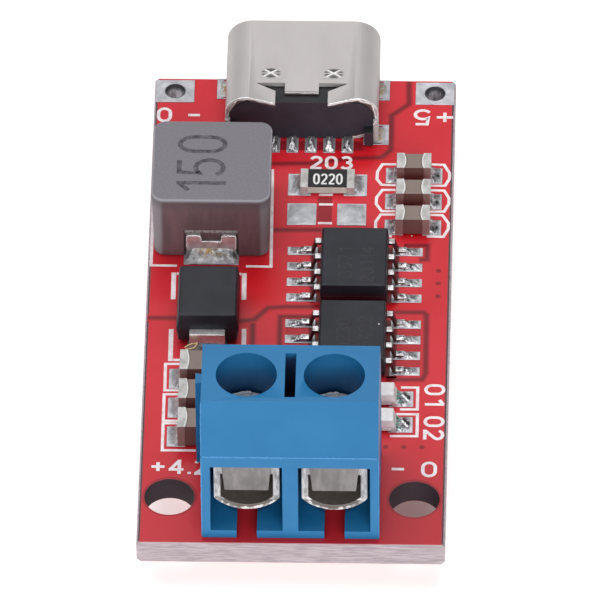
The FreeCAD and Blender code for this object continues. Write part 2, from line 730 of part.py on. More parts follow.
def usb_insert(contacts):
    body = new_body("usb_insert_moulding")
    fit = "(shell_wall + insert_gap)"
    back = sketch(body, "XZ", f"{INSERT_END} - insert_depth")
    rounded_rectangle(back, f"-shell_width / 2 + {fit}", fit, f"shell_width / 2 - {fit}",
                      f"shell_height - {fit}", f"(shell_corner - {fit})")
    pad(body, back, "insert_depth")
    heel = sketch(body, "XY", "land_thick")
    heel_side = "(floor_cut_width / 2 - insert_gap)"
    rectangle(heel, f"-{heel_side}", f"-{INSERT_END}", heel_side,
              "-shell_length + floor_cut_length - insert_gap")
    pad(body, heel, "shell_wall + 2 * insert_gap - land_thick")
    tongue = sketch(body, "XZ", "tongue_set")
    rectangle(tongue, "-tongue_width / 2", "shell_height / 2 - tongue_thick / 2",
              "tongue_width / 2", TONGUE_TOP)
    pad(body, tongue, f"{INSERT_END} - insert_depth - tongue_set")
    foot = sketch(body, "XY", "land_thick")
    foot_side = f"(shell_width / 2 - {fit})"
    rectangle(foot, f"{foot_side} - insert_foot_width", f"-{INSERT_END} - insert_foot_length",
              foot_side, "-shell_length - insert_gap")
    feet = pad(body, foot, "insert_foot_height - land_thick")
    mirror(body, [feet])
    place(body, "socket_shift", MOUTH, "board_thick")
    keep(cut("usb_insert", body, contacts), "usb_insert")


# The inductor: a pressed iron-powder block around its coil, a little wider at the top, with a
# soldered clip bent up each end from a foot underneath.
CLIP_FACE = "(inductor_length / 2 - clip_pocket_depth)"


def inductor():
    body = new_body("inductor_core")
    base = sketch(body, "XY")
    rounded_rectangle(base, "-inductor_width / 2", "-inductor_length / 2", "inductor_width / 2",
                      "inductor_length / 2", "inductor_corner")
    block = pad(body, base, "inductor_height", draft="inductor_draft")
    top = number("inductor_height")

    def on_top(start, stop):
        return min(start.z, stop.z) > top - 0.001
    soft = body.newObject("PartDesign::Fillet", "top_edge")
    soft.Base = (block, edges_where(block.Shape, on_top))
    bind(soft, "Radius", "inductor_edge")
    half = "(clip_width / 2 + clip_pocket_room)"
    end_view = sketch(body, "XZ", "inductor_length / 2 + clip_pocket_depth")
    rectangle(end_view, f"-{half}", "0", half, "clip_height + clip_pocket_rise")
    rear_view = sketch(body, "XZ", "-inductor_length / 2 - clip_pocket_depth")
    rectangle(rear_view, f"-{half}", "0", half, "clip_height + clip_pocket_rise")
    pocket(body, end_view, "2 * clip_pocket_depth")
    pocket(body, rear_view, "2 * clip_pocket_depth", along_normal=True)
    under = sketch(body, "XY")
    for sign in ("", "-"):
        rectangle(under, f"-{half}", f"{sign}{CLIP_FACE}", half,
                  f"{sign}(inductor_length / 2 - clip_foot - clip_pocket_room)")
    pocket(body, under, "clip_thick", along_normal=True)
    place(body, "inductor_x", INDUCTOR_Y, ON_LAND)
    keep(body, "inductor_core")
    for side, turn, sign in (("front", 0, "-"), ("rear", 180, "")):
        inductor_clip(side, turn)
        middle = f"(inductor_length / 2 + clip_land_out / 2 - clip_foot / 2)"
        land(f"inductor_{side}_land", "clip_land_width", "clip_foot + clip_land_out",
             "inductor_x", f"{INDUCTOR_Y} + {sign}{middle}")
        solder_wedge(f"inductor_{side}_solder", side,
                     "clip_land_out + clip_pocket_depth - clip_thick", "clip_land_width * 0.94",
                     "clip_height * 0.34", "inductor_x",
                     f"{INDUCTOR_Y} + {sign}({CLIP_FACE} + clip_thick)")


def inductor_clip(side, turn):
    body = new_body(f"inductor_clip_{side}")
    side_view = sketch(body, "YZ")
    outer = f"-{CLIP_FACE} - clip_thick"
    outline(side_view, [
        (outer, "0"),
        ("-inductor_length / 2 + clip_foot", "0"),
        ("-inductor_length / 2 + clip_foot", "clip_thick"),
        (f"-{CLIP_FACE}", "clip_thick"),
        (f"-{CLIP_FACE}", "clip_height"),
        (outer, "clip_height"),
    ])
    pad(body, side_view, "clip_width", both=True)
    notch = sketch(body, "XY", "clip_height")
    rectangle(notch, "-clip_notch_width / 2", outer, "clip_notch_width / 2", f"-{CLIP_FACE}")
    pocket(body, notch, "clip_notch_depth")
    half_turn = FreeCAD.Rotation(FreeCAD.Vector(0, 0, 1), turn)
    place(body, "inductor_x", INDUCTOR_Y, ON_LAND, half_turn)
    keep(body, f"inductor_clip_{side}")


# Moulded semiconductor bodies: a band at the parting line where the leads leave, and drafted
# faces above and below it.
def moulded_body(label, width, length, low, band, top, across, along):
    body = new_body(label)
    levels = (
        (band, "lead_thick", False, None),
        (f"{band} + lead_thick", f"{top} - {band} - lead_thick", False, "-mould_draft"),
        (band, f"{band} - {low}", True, "-mould_draft"),
    )
    for level, rise, downwards, draft in levels:
        plan = sketch(body, "XY", level)
        rectangle(plan, f"-{width} / 2", f"-{length} / 2", f"{width} / 2", f"{length} / 2")
        pad(body, plan, rise, back=downwards, draft=draft)
    place(body, across, along, ON_LAND)
    return keep(body, label)


def diode():
    moulded_body("diode_body", "diode_width", "diode_length", "lead_thick", "diode_band",
                 "diode_height", "diode_x", "diode_y")
    for side, turn, sign in (("front", 0, "-"), ("rear", 180, "")):
        body = new_body(f"diode_lead_{side}")
        side_view = sketch(body, "YZ")
        outline(side_view, [
            ("-diode_span / 2", "0"),
            ("-diode_span / 2 + diode_lead_foot", "0"),
            ("-diode_span / 2 + diode_lead_foot", "lead_thick"),
            ("-diode_span / 2 + lead_thick", "lead_thick"),
            ("-diode_span / 2 + lead_thick", "diode_band"),
            ("-diode_length / 2", "diode_band"),
            ("-diode_length / 2", "diode_band + lead_thick"),
            ("-diode_span / 2", "diode_band + lead_thick"),
        ])
        pad(body, side_view, "diode_lead_width", both=True)
        half_turn = FreeCAD.Rotation(FreeCAD.Vector(0, 0, 1), turn)
        place(body, "diode_x", "diode_y", ON_LAND, half_turn)
        keep(body, f"diode_lead_{side}")
        solder_run = "(diode_land_length - diode_lead_foot)"
        land(f"diode_{side}_land", "diode_land_width", "diode_land_length", "diode_x",
             f"diode_y + {sign}(diode_span / 2 + {solder_run} - diode_land_length / 2)")
        solder_wedge(f"diode_{side}_solder", side, f"{solder_run} * 0.9",
                     "diode_land_width * 0.92", "diode_band * 0.6", "diode_x",
                     f"diode_y + {sign}diode_span / 2")


def eight_lead_chip(name, along):
    moulded_body(f"{name}_body", "chip_width", "chip_length", "chip_standoff", "chip_band",
                 "chip_height", "chip_x", along)
    body = new_body(f"{name}_leads")
    first_row = f"chip_pitch * {(CHIP_LEADS - 1) / 2}"
    end_view = sketch(body, "XZ", first_row)
    heel = "(chip_span / 2 - chip_foot)"
    knee = "(chip_width / 2 + chip_shoulder)"
    for sign in SIDES.values():
        outline(end_view, [
            (f"{sign}chip_width / 2", "chip_band"),
            (f"{sign}{knee}", "chip_band"),
            (f"{sign}{heel}", "0"),
            (f"{sign}chip_span / 2", "0"),
            (f"{sign}chip_span / 2", "lead_thick"),
            (f"{sign}({heel} + lead_thick * 0.7)", "lead_thick"),
            (f"{sign}({knee} + lead_thick * 0.7)", "chip_band + lead_thick"),
            (f"{sign}chip_width / 2", "chip_band + lead_thick"),
        ])
    pair = pad(body, end_view, "chip_lead_width", both=True)
    row_of(body, [pair], "Y_Axis", f"chip_pitch * {CHIP_LEADS - 1}", CHIP_LEADS)
    place(body, "chip_x", along, ON_LAND)
    keep(body, f"{name}_leads")
    for index in range(CHIP_LEADS):
        lead_along = f"{along} + chip_pitch * {index - (CHIP_LEADS - 1) / 2}"
        for side, sign in SIDES.items():
            land(f"{name}_{side}_land", "chip_land_length", "chip_land_width",
                 f"chip_x + {sign}(chip_land_span - chip_land_length) / 2", lead_along)
            solder_wedge(f"{name}_{side}_solder", side, "(chip_land_span - chip_span) / 2 * 0.85",
                         "chip_land_width * 0.9", "lead_thick * 0.9",
                         f"chip_x + {sign}chip_span / 2", lead_along)


# Chip resistors and capacitors: a ceramic block with a tinned cap wrapped round each end.
def sense_resistor():
    core, caps = chip_part("sense_resistor", "sense_length", "sense_width", "sense_height",
                           "cap_wrap", "sense_x", SENSE_Y)
    keep(core, "sense_resistor_ceramic")
    keep(group("sense_resistor_ends", caps), "sense_resistor_ends")
    coat = centred_box("sense_resistor_coat", "sense_length - 2 * cap_wrap",
                       "sense_width - 2 * wrap_thick", "coat_thick", "sense_x", SENSE_Y,
                       f"{ON_LAND} + sense_height - wrap_thick")
    keep(coat, "sense_resistor_coat")
    for name, along, length in (("sense", SENSE_Y, "sense_land_length"),
                                ("bare", BARE_LAND_Y, "bare_land_length")):
        for side, sign in SIDES.items():
            land(f"{name}_{side}_land", length, "sense_land_width",
                 f"sense_x + {sign}(sense_land_span - {length}) / 2", along)
    for side, sign in SIDES.items():
        solder_wedge(f"sense_{side}_solder", side, "(sense_land_span - sense_length) / 2 * 0.86",
                     "sense_width", "sense_height * 0.8",
                     f"sense_x + {sign}sense_length / 2", SENSE_Y)


def capacitors(kind, count, first):
    for index in range(count):
        name = f"{kind}_capacitor_{index + 1}"
        along = f"({first} - {kind}_cap_pitch * {index})"
        core, caps = chip_part(name, f"{kind}_cap_length", f"{kind}_cap_width",
                               f"{kind}_cap_height", "cap_wrap", f"{kind}_cap_x", along)
        keep(core, f"{name}_body")
        keep(group(f"{name}_ends", caps), f"{name}_ends")
        end_joints(name, f"{kind}_cap_land_span", f"{kind}_cap_length", f"{kind}_cap_width",
                   f"{kind}_cap_height * solder_rise", f"{kind}_cap_x", along)


def lamps(count):
    for index in range(count):
        name = f"lamp_{index + 1}"
        along = f"(lamp_y - lamp_pitch * {index})"
        base, caps = chip_part(name, "lamp_length", "lamp_width", "lamp_base", "bias_wrap",
                               "lamp_x", along)
        keep(base, f"{name}_base")
        keep(group(f"{name}_ends", caps), f"{name}_ends")
        lens = doc.addObject("Part::Wedge", f"{name}_lens")
        for prop, text in (
                ("Xmin", "-lamp_lens_length / 2"),
                ("Xmax", "lamp_lens_length / 2"),
                ("X2min", "-lamp_lens_length / 2 + 2 * lamp_lens_draft"),
                ("X2max", "lamp_lens_length / 2 - 2 * lamp_lens_draft"),
                ("Ymin", "lamp_base"),
                ("Ymax", "lamp_height"),
                ("Zmin", "-lamp_width / 2 + wrap_thick"),
                ("Zmax", "lamp_width / 2 - wrap_thick"),
                ("Z2min", "-lamp_width / 2 + wrap_thick + lamp_lens_draft"),
                ("Z2max", "lamp_width / 2 - wrap_thick - lamp_lens_draft")):
            bind(lens, prop, text)
        upright = FreeCAD.Rotation(FreeCAD.Vector(1, 0, 0), 90)
        place(lens, "lamp_x", along, ON_LAND, upright)
        keep(lens, f"{name}_lens")
        end_joints(name, "lamp_land_span", "lamp_length", "lamp_width", "lamp_base * 0.8",
                   "lamp_x", along)


def bias_resistors():
    cores = []
    coats = []
    ends = []
    for column in range(2):
        for line in range(2):
            name = f"bias_resistor_{column * 2 + line + 1}"
            across = f"(bias_x + bias_pitch_x * {column})"
            along = f"(bias_y + bias_pitch_y * {line})"
            core, caps = chip_part(name, "bias_length", "bias_width", "bias_height",
                                   "bias_wrap", across, along)
            cores.append(core)
            ends.extend(caps)
            coats.append(centred_box(f"{name}_coat", "bias_length - 2 * bias_wrap",
                                     "bias_width - 2 * wrap_thick", "coat_thick", across, along,
                                     f"{ON_LAND} + bias_height - wrap_thick"))
            end_joints(name, "bias_land_span", "bias_length", "bias_width",
                       "bias_height * 0.7", across, along)
    keep(group("bias_resistor_ceramics", cores), "bias_resistor_ceramics")
    keep(group("bias_resistor_coats", coats), "bias_resistor_coats")
    keep(group("bias_resistor_ends", ends), "bias_resistor_ends")


# The screw terminal: one moulded housing for two poles. In each pole a cage hangs on a screw
# that is held under its head by the housing's shoulder; the screw's tip stands on the contact
# strip, so turning it lifts the cage and grips the wire under the strip.
def terminal_housing():
    body = new_body("terminal_housing")
    side_view = sketch(body, "YZ")
    outline(side_view, [
        ("0", "0"),
        ("terminal_depth", "0"),
        ("terminal_depth", "back_shoulder"),
        ("back_flat", "terminal_height"),
        ("slope_depth", "terminal_height"),
        ("0", "shoulder_height"),
    ])
    pad(body, side_view, "terminal_width", both=True)
    rail = sketch(body, "XY")
    side = "(terminal_width / 2)"
    outline(rail, [
        (f"-{side}", "rail_set + rail_root / 2"),
        (f"-{side} - rail_out", "rail_set + rail_tip / 2"),
        (f"-{side} - rail_out", "rail_set - rail_tip / 2"),
        (f"-{side}", "rail_set - rail_root / 2"),
    ])
    pad(body, rail, "rail_height")
    groove = sketch(body, "XY")
    outline(groove, [
        (side, "rail_set - rail_root / 2 - rail_room"),
        (side, "rail_set + rail_root / 2 + rail_room"),
        (f"{side} - rail_out - rail_room", "rail_set + rail_tip / 2 + rail_room"),
        (f"{side} - rail_out - rail_room", "rail_set - rail_tip / 2 - rail_room"),
    ])
    pocket(body, groove, "rail_height + rail_room", along_normal=True)

    pole = "terminal_pitch / 2"
    entry = sketch(body, "XZ")
    rectangle(entry, f"{pole} - entry_width / 2", "entry_floor",
              f"{pole} + entry_width / 2", "entry_top")
    cavity = pocket(body, entry, "cavity_depth")
    sill = sketch(body, "XY")
    rectangle(sill, f"{pole} - sill_notch / 2", "0", f"{pole} + sill_notch / 2",
              "sill_notch_length")
    notch = pocket(body, sill, "entry_floor", along_normal=True)
    floor = sketch(body, "XY")
    rectangle(floor, f"{pole} - pin_width / 2 - pin_room",
              "cavity_depth - strip_thick - pin_room",
              f"{pole} + pin_width / 2 + pin_room", "cavity_depth")
    pin_slot = pocket(body, floor, "entry_floor", along_normal=True)
    port = sketch(body, "XY", "terminal_height")
    circle(port, pole, "well_set", "well_bore")
    well = pocket(body, port, "terminal_height - well_floor")
    collar = sketch(body, "XY", "well_floor")
    circle(collar, pole, "well_set", "neck_bore")
    neck = pocket(body, collar, "well_floor - entry_top")
    mirror(body, [cavity, notch, pin_slot, well, neck])

    key = sketch(body, "XY", "terminal_height")
    rectangle(key, "-key_slot_width / 2", "key_slot_set", "key_slot_width / 2",
              "key_slot_set + key_slot_length")
    pocket(body, key, "terminal_height - key_slot_floor")
    place(body, "0", TERMINAL_FRONT, "board_thick")
    keep(body, "terminal_housing")


def contact_strip(side, sign):
    body = new_body(f"contact_strip_{side}")
    side_view = sketch(body, "YZ")
    outline(side_view, [
        ("lip_set", "strip_level"),
        ("cavity_depth - strip_thick", "strip_level"),
        ("cavity_depth - strip_thick", "entry_floor"),
        ("cavity_depth", "entry_floor"),
        ("cavity_depth", "strip_level + strip_thick"),
        ("lip_set", "strip_level + strip_thick"),
    ])
    pad(body, side_view, "strip_width", both=True)
    lip = sketch(body, "XZ", "-lip_set")
    outline(lip, [
        ("-strip_width / 2", "strip_level"),
        ("strip_width / 2", "strip_level"),
        ("strip_width / 2 + lip_spread", "lip_top"),
        ("-strip_width / 2 - lip_spread", "lip_top"),
    ])
    pad(body, lip, "lip_thick", back=True)
    pin = sketch(body, "XZ", f"-{PIN_SET} - strip_thick / 2")
    tip = "-board_thick - pin_below"
    outline(pin, [
        ("-pin_width / 2", "entry_floor"),
        ("-pin_width / 2", f"{tip} + pin_taper"),
        ("-pin_width / 2 + pin_taper", tip),
        ("pin_width / 2 - pin_taper", tip),
        ("pin_width / 2", f"{tip} + pin_taper"),
        ("pin_width / 2", "entry_floor"),
    ])
    pad(body, pin, "strip_thick")
    place(body, f"{sign}terminal_pitch / 2", TERMINAL_FRONT, "board_thick")
    return keep(body, f"contact_strip_{side}")


def clamp_cage(side, sign):
    body = new_body(f"clamp_cage_{side}")
    half = "(cage_width / 2)"
    sag = "(cage_knee - cage_low)"
    outer_radius = f"(({half} * {half} + {sag} * {sag}) / (2 * {sag}))"
    inner_half = f"({half} - cage_wall)"
    inner_radius = f"({outer_radius} - cage_wall)"
    inner_knee = (f"(cage_low + {outer_radius} - sqrt({inner_radius} * {inner_radius}"
                  f" - {inner_half} * {inner_half}))")
    end_view = sketch(body, "XZ", "-cage_set")
    outline(end_view, [
        (f"-{half}", "cage_knee", outer_radius),
        (half, "cage_knee"),
        (half, "cage_top"),
        (f"-{half}", "cage_top"),
    ])
    outline(end_view, [
        (f"-{inner_half}", inner_knee, inner_radius),
        (inner_half, inner_knee),
        (inner_half, "cage_top - cage_plate"),
        (f"-{inner_half}", "cage_top - cage_plate"),
    ])
    pad(body, end_view, "cage_depth", back=True)
    thread = sketch(body, "XY", "cage_top")
    circle(thread, "0", "well_set", "(screw_shank + 2 * screw_running)")
    pocket(body, thread, "cage_plate")
    place(body, f"{sign}terminal_pitch / 2", TERMINAL_FRONT, "board_thick")
    keep(body, f"clamp_cage_{side}")


def clamp_screw(side, sign):
    body = new_body(f"clamp_screw_{side}")
    half_view = sketch(body, "XZ")
    tip = "(strip_level + strip_thick)"
    head_top = "(well_floor + screw_head_height)"
    outline(half_view, [
        ("0", tip),
        ("screw_shank / 2 - screw_running * 3", tip),
        ("screw_shank / 2", f"{tip} + screw_running * 3"),
        ("screw_shank / 2", "well_floor"),
        ("screw_head / 2", "well_floor"),
        ("screw_head / 2", head_top),
        ("0", head_top),
    ])
    turned = body.newObject("PartDesign::Revolution", f"{body.Name}_turned")
    turned.Profile = half_view
    turned.ReferenceAxis = (half_view, ["V_Axis"])
    turned.Angle = 360
    doc.recompute()
    driver = sketch(body, "XY", head_top)
    rectangle(driver, "-screw_head / 2", "-driver_slot_width / 2", "screw_head / 2",
              "driver_slot_width / 2")
    pocket(body, driver, "driver_slot_depth")
    place(body, f"{sign}terminal_pitch / 2", f"{TERMINAL_FRONT} + well_set", "board_thick")
    keep(body, f"clamp_screw_{side}")


# Under the board: a solder cone round each terminal pin and a low mound round each shell leg.
def underside_solder(shell, strips):
    members = []
    for side, sign in SIDES.items():
        cone = doc.addObject("Part::Cone", f"{side}_pin_cone")
        bind(cone, "Radius1", "pin_solder_tip / 2")
        bind(cone, "Radius2", "pin_land / 2 * 0.9")
        bind(cone, "Height", "pin_solder_height")
        place(cone, f"{sign}terminal_pitch / 2", PIN_Y, "-land_thick - pin_solder_height")
        members.append(cut(f"{side}_pin_solder", cone, strips[side]))
        for leg_row in LEG_ROWS:
            mound = doc.addObject("Part::Wedge", f"{side}_{leg_row}_mound")
            for prop, text in (
                    ("Xmin", "-leg_land_width / 2.2"),
                    ("Xmax", "leg_land_width / 2.2"),
                    ("X2min", "-shell_wall"),
                    ("X2max", "shell_wall"),
                    ("Ymin", "0"),
                    ("Ymax", "leg_below * 0.8"),
                    ("Zmin", "-leg_land_length / 2.2"),
                    ("Zmax", "leg_land_length / 2.2"),
                    ("Z2min", "-leg_width / 2"),
                    ("Z2max", "leg_width / 2")):
                bind(mound, prop, text)
            downwards = FreeCAD.Rotation(FreeCAD.Vector(1, 0, 0), -90)
            place(mound, f"{sign}{LEG_X}", f"{MOUTH} - {leg_row}", "-land_thick", downwards)
            members.append(cut(f"{side}_{leg_row}_solder", mound, shell))
    keep(group("underside_solder", members), "underside_solder")


circuit_board()
holed_lands()
socket_shell = usb_shell()
usb_insert(usb_contacts())
inductor()
diode()
eight_lead_chip("driver_chip", "driver_y")
eight_lead_chip("control_chip", "control_y")
sense_resistor()
capacitors("input", 3, f"{REAR_EDGE} - input_cap_set")
capacitors("output", 3, "output_cap_y")
lamps(2)
bias_resistors()
terminal_housing()
strip_pair = {side: contact_strip(side, sign) for side, sign in SIDES.items()}
for side_name, side_sign in SIDES.items():
    clamp_cage(side_name, side_sign)
    clamp_screw(side_name, side_sign)
underside_solder(socket_shell, strip_pair)
keep(group("solder_lands", lands), "solder_lands")
keep(group("solder_joints", joints), "solder_joints")
doc.recompute()

# Every object has to be sound, and every pocket has to remove material, before anything is kept.
for item in doc.Objects:
    if "Invalid" in item.State or "Error" in item.State:
        raise RuntimeError(f"{item.Name} failed: {item.State}")
    if item.TypeId == "PartDesign::Pocket":
        if item.Shape.Volume >= item.BaseFeature.Shape.Volume - 1e-6:
            raise RuntimeError(f"{item.Name} cuts nothing")
for item in subparts:
    if item.Shape.isNull() or not item.Shape.isValid() or not item.Shape.Solids:
        raise RuntimeError(f"{item.Label} has no sound shape")

os.makedirs("parts", exist_ok=True)
for item in subparts:
    item.Shape.exportStep(f"parts/{item.Label}.step")
    solids = len(item.Shape.Solids)
    print(f"{item.Label}: {solids} solid(s), {item.Shape.Volume:.3f} cubic mm")
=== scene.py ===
"""Looks of a small battery charger module: a red circuit board with a USB-C socket at its rear
edge, an inductor, a diode, two chips, small chip parts, and a blue two-pole screw terminal.

Everything is in metres in the CAD model's own frame: the origin is midway between the two
mounting holes, +X to the right, +Y towards the socket and +Z up. Sizes are written in mm.
"""

import math

import bmesh
import bpy
import numpy as np
from mathutils import Matrix, Vector


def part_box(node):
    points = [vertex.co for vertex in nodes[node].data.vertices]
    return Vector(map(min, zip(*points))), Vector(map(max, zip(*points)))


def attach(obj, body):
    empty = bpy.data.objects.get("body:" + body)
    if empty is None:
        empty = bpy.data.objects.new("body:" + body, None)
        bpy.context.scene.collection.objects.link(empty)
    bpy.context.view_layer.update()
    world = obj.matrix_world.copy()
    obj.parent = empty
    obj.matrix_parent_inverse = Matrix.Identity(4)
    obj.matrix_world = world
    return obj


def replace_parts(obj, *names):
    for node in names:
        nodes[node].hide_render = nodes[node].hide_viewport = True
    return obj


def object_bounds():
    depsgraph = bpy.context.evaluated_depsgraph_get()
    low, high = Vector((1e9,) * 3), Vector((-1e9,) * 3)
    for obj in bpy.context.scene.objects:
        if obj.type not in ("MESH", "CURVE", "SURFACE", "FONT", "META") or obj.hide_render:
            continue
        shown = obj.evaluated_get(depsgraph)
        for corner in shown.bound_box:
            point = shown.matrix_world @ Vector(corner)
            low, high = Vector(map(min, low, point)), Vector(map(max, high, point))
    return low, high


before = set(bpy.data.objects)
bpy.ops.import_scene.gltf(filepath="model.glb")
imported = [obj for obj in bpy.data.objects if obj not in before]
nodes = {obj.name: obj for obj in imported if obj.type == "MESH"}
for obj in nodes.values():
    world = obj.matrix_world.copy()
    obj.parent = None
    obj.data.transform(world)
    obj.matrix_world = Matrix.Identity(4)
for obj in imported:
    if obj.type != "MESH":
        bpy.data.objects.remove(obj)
cad_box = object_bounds()
MM = 0.001
BOARD_TOP = 1.6
LAND_TOP = 1.65
BOARD_MIDDLE_Y = 15.3

# ----------------------------------------
# View. The photograph looks down on the board at 45 degrees from the terminal's end, through a
# long lens. The board lies on a pale table under a wide ceiling panel, with a lower one in front.
# ----------------------------------------
AIM = Vector((0, BOARD_MIDDLE_Y, BOARD_TOP)) * MM
ELEVATION, YAW, ROLL = 0.785728, 0.031770, -0.012097
back = Vector((
    math.sin(YAW) * math.cos(ELEVATION),
    -math.cos(YAW) * math.cos(ELEVATION),
    math.sin(ELEVATION),
))
across = Vector((math.cos(YAW), math.sin(YAW), 0))
upward = back.cross(across)
camera_across = across * math.cos(ROLL) + upward * math.sin(ROLL)
camera_up = upward * math.cos(ROLL) - across * math.sin(ROLL)
lens = bpy.data.cameras.new("camera")
lens.sensor_width = 36
lens.lens = 1038.8
lens.shift_x, lens.shift_y = 0.00311, 0.01420
lens.clip_start, lens.clip_end = 0.05, 20
camera = bpy.data.objects.new("camera", lens)
camera.matrix_world = Matrix.Translation(AIM + back) @ Matrix(
    (camera_across, camera_up, back)).transposed().to_4x4()
bpy.context.scene.collection.objects.link(camera)
bpy.context.scene.camera = camera
bpy.context.scene.view_settings.view_transform = "Standard"


def panel_light(name, place, aim, width, depth, watts):
    """Flat lamp at place, turned so that it shines at aim. Places and sizes are in metres."""
    lamp = bpy.data.lights.new(name, "AREA")
    lamp.shape = "RECTANGLE"
    lamp.size, lamp.size_y = width, depth
    lamp.energy = watts
    obj = bpy.data.objects.new(name, lamp)
    way = Vector(place) - Vector(aim)
    obj.matrix_world = Matrix.Translation(place) @ way.to_track_quat("Z", "Y").to_matrix().to_4x4()
    bpy.context.scene.collection.objects.link(obj)


panel_light("ceiling_panel", (-0.05, 0.10, 0.40), (0, 0.015, 0), 0.50, 0.40, 1.75)
panel_light("front_panel", (0.05, -0.40, 0.22), (0, 0.01, 0.005), 0.40, 0.25, 1.55)
world = bpy.data.worlds.new("studio")
world.use_nodes = True
sky = world.node_tree
rise = sky.nodes.new("ShaderNodeSeparateXYZ")
sky.links.new(sky.nodes.new("ShaderNodeTexCoord").outputs["Generated"], rise.inputs[0])
dome = sky.nodes.new("ShaderNodeMapRange")
sky.links.new(rise.outputs["Z"], dome.inputs[0])
for socket, value in ((1, -0.1), (2, 0.9), (3, 0.42), (4, 0.98)):  # dim low down, bright above
    dome.inputs[socket].default_value = value
sky.links.new(dome.outputs[0], sky.nodes["Background"].inputs["Strength"])
bpy.context.scene.world = world


class Finish:
    """One surface finish as a node material, built step by step on the piece's own coordinates.

    Colours are linear, lengths are in mm, and a value is a number or a node's output.
    """

    def __init__(self, name, roughness=0.5, metallic=0.0, specular=0.5):
        self.material = bpy.data.materials.new(name)
        self.material.use_nodes = True
        self.tree = self.material.node_tree
        self.shader = self.tree.nodes["Principled BSDF"]
        self.place = self.tree.nodes.new("ShaderNodeTexCoord").outputs["Object"]
        self.set("Roughness", roughness)
        self.set("Metallic", metallic)
        self.set("Specular IOR Level", specular)

    def put(self, target, value):
        """Give a socket a number, a colour, a vector or another node's output."""
        if isinstance(value, bpy.types.NodeSocket):
            self.tree.links.new(value, target)
        elif isinstance(value, tuple) and target.type == "RGBA":
            target.default_value = (*value, 1)
        else:
            target.default_value = value

    def set(self, socket, value):
        self.put(self.shader.inputs[socket], value)

    def node(self, kind, inputs=(), output=0, **settings):
        """Add a node, with settings on it and values at numbered inputs."""
        made = self.tree.nodes.new(kind)
        for key, value in settings.items():
            setattr(made, key, value)
        for index, value in dict(inputs).items():
            self.put(made.inputs[index], value)
        return made.outputs[output]

    def grain(self, size, stretch=(1, 1, 1), detail=3.0):
        """Noise from 0 to 1 with blotches of a size, drawn out along axes by stretch."""
        source = self.node("ShaderNodeMapping", {
            0: self.place, 3: tuple(1 / (s * size * MM) for s in stretch)})
        return self.node("ShaderNodeTexNoise", {0: source, 2: 1.0, 3: detail, 4: 0.55})

    def ramp(self, value, low, high, start=0.0, stop=1.0):
        """Value stretched from low..high to start..stop, held at both ends."""
        return self.node("ShaderNodeMapRange", {0: value, 1: low, 2: high, 3: start, 4: stop})

    def math(self, work, first, second=0.0):
        return self.node("ShaderNodeMath", {0: first, 1: second}, operation=work)

    def times(self, first, *others):
        """Product of values."""
        for other in others:
            first = self.math("MULTIPLY", first, other)
        return first

    def squares(self, first, second):
        """Sum of the squares of two values."""
        return self.math("ADD", self.math("POWER", first, 2.0), self.math("POWER", second, 2.0))

    def part(self, axis):
        """One coordinate of the place in the frame."""
        made = self.tree.nodes.new("ShaderNodeSeparateXYZ")
        self.put(made.inputs[0], self.place)
        return self.math("DIVIDE", made.outputs["XYZ".index(axis)], MM)

    def off(self, axis, middle):
        """Coordinate less a middle."""
        return self.math("SUBTRACT", self.part(axis), middle)

    def away(self, axis, middle=0.0):
        """Distance from a middle along an axis."""
        return self.math("ABSOLUTE", self.off(axis, middle))

    def stored(self, name):
        """Value that the piece's mesh holds under a name."""
        return self.node("ShaderNodeAttribute", output=2, attribute_name=name)

    def blend(self, share, first, second):
        """Colour between first and second."""
        return self.node("ShaderNodeMix", {0: share, 6: first, 7: second}, 2, data_type="RGBA")

    def mottle(self, size, first, second, low=0.36, high=0.64, stretch=(1, 1, 1), detail=3.0):
        """Colour that drifts between two colours in blotches of a size."""
        return self.blend(self.ramp(self.grain(size, stretch, detail), low, high), first, second)

    def mottled(self, *pattern, **rest):
        """Base colour as mottle gives it."""
        self.set("Base Color", self.mottle(*pattern, **rest))
        return self

    def relief(self, height, depth, stretch=(1, 1, 1), detail=3.0):
        """Bump over a depth by a height from 0 to 1, or by grain of a size."""
        if not isinstance(height, bpy.types.NodeSocket):
            height = self.grain(height, stretch, detail)
        self.set("Normal", self.node("ShaderNodeBump", {0: 1.0, 1: depth * MM, 3: height}))
        return self

    def on(self, *names):
        """Lay this finish on CAD nodes."""
        for name in names:
            lay(self, nodes[name])
        return self


def lay(finish, obj):
    """Put one finish on an object and nothing else."""
    obj.data.materials.clear()
    obj.data.materials.append(finish.material)


table = bpy.data.meshes.new("table")
span = np.array([(-1, -1), (1, -1), (1, 1), (-1, 1)], float) * 3.0
table.from_pydata([(*s, cad_box[0][2]) for s in span], [], [(0, 1, 2, 3)])
table_top = bpy.data.objects.new("table", table)
bpy.context.scene.collection.objects.link(table_top)
paper = Finish("white_paper", 0.9).mottled(30.0, (0.49, 0.49, 0.49), (0.51, 0.51, 0.51))
paper.relief(0.4, 0.01)
paper.set("Emission Color", (1.0, 1.0, 1.0))
painted_under_shadow = paper.times(  # painted shadow: the paper glows less under the board, and less still to the right
    paper.math("LESS_THAN", paper.away("X"), 8.6), paper.math("LESS_THAN", paper.part("Y"), 34.0),
    paper.ramp(paper.part("Y"), -1.5, 0.0), paper.ramp(paper.part("X"), -4, 6, 0.1, 0.6))
paper.set("Emission Strength", paper.math("SUBTRACT", 0.72, painted_under_shadow))
lay(paper, table_top)

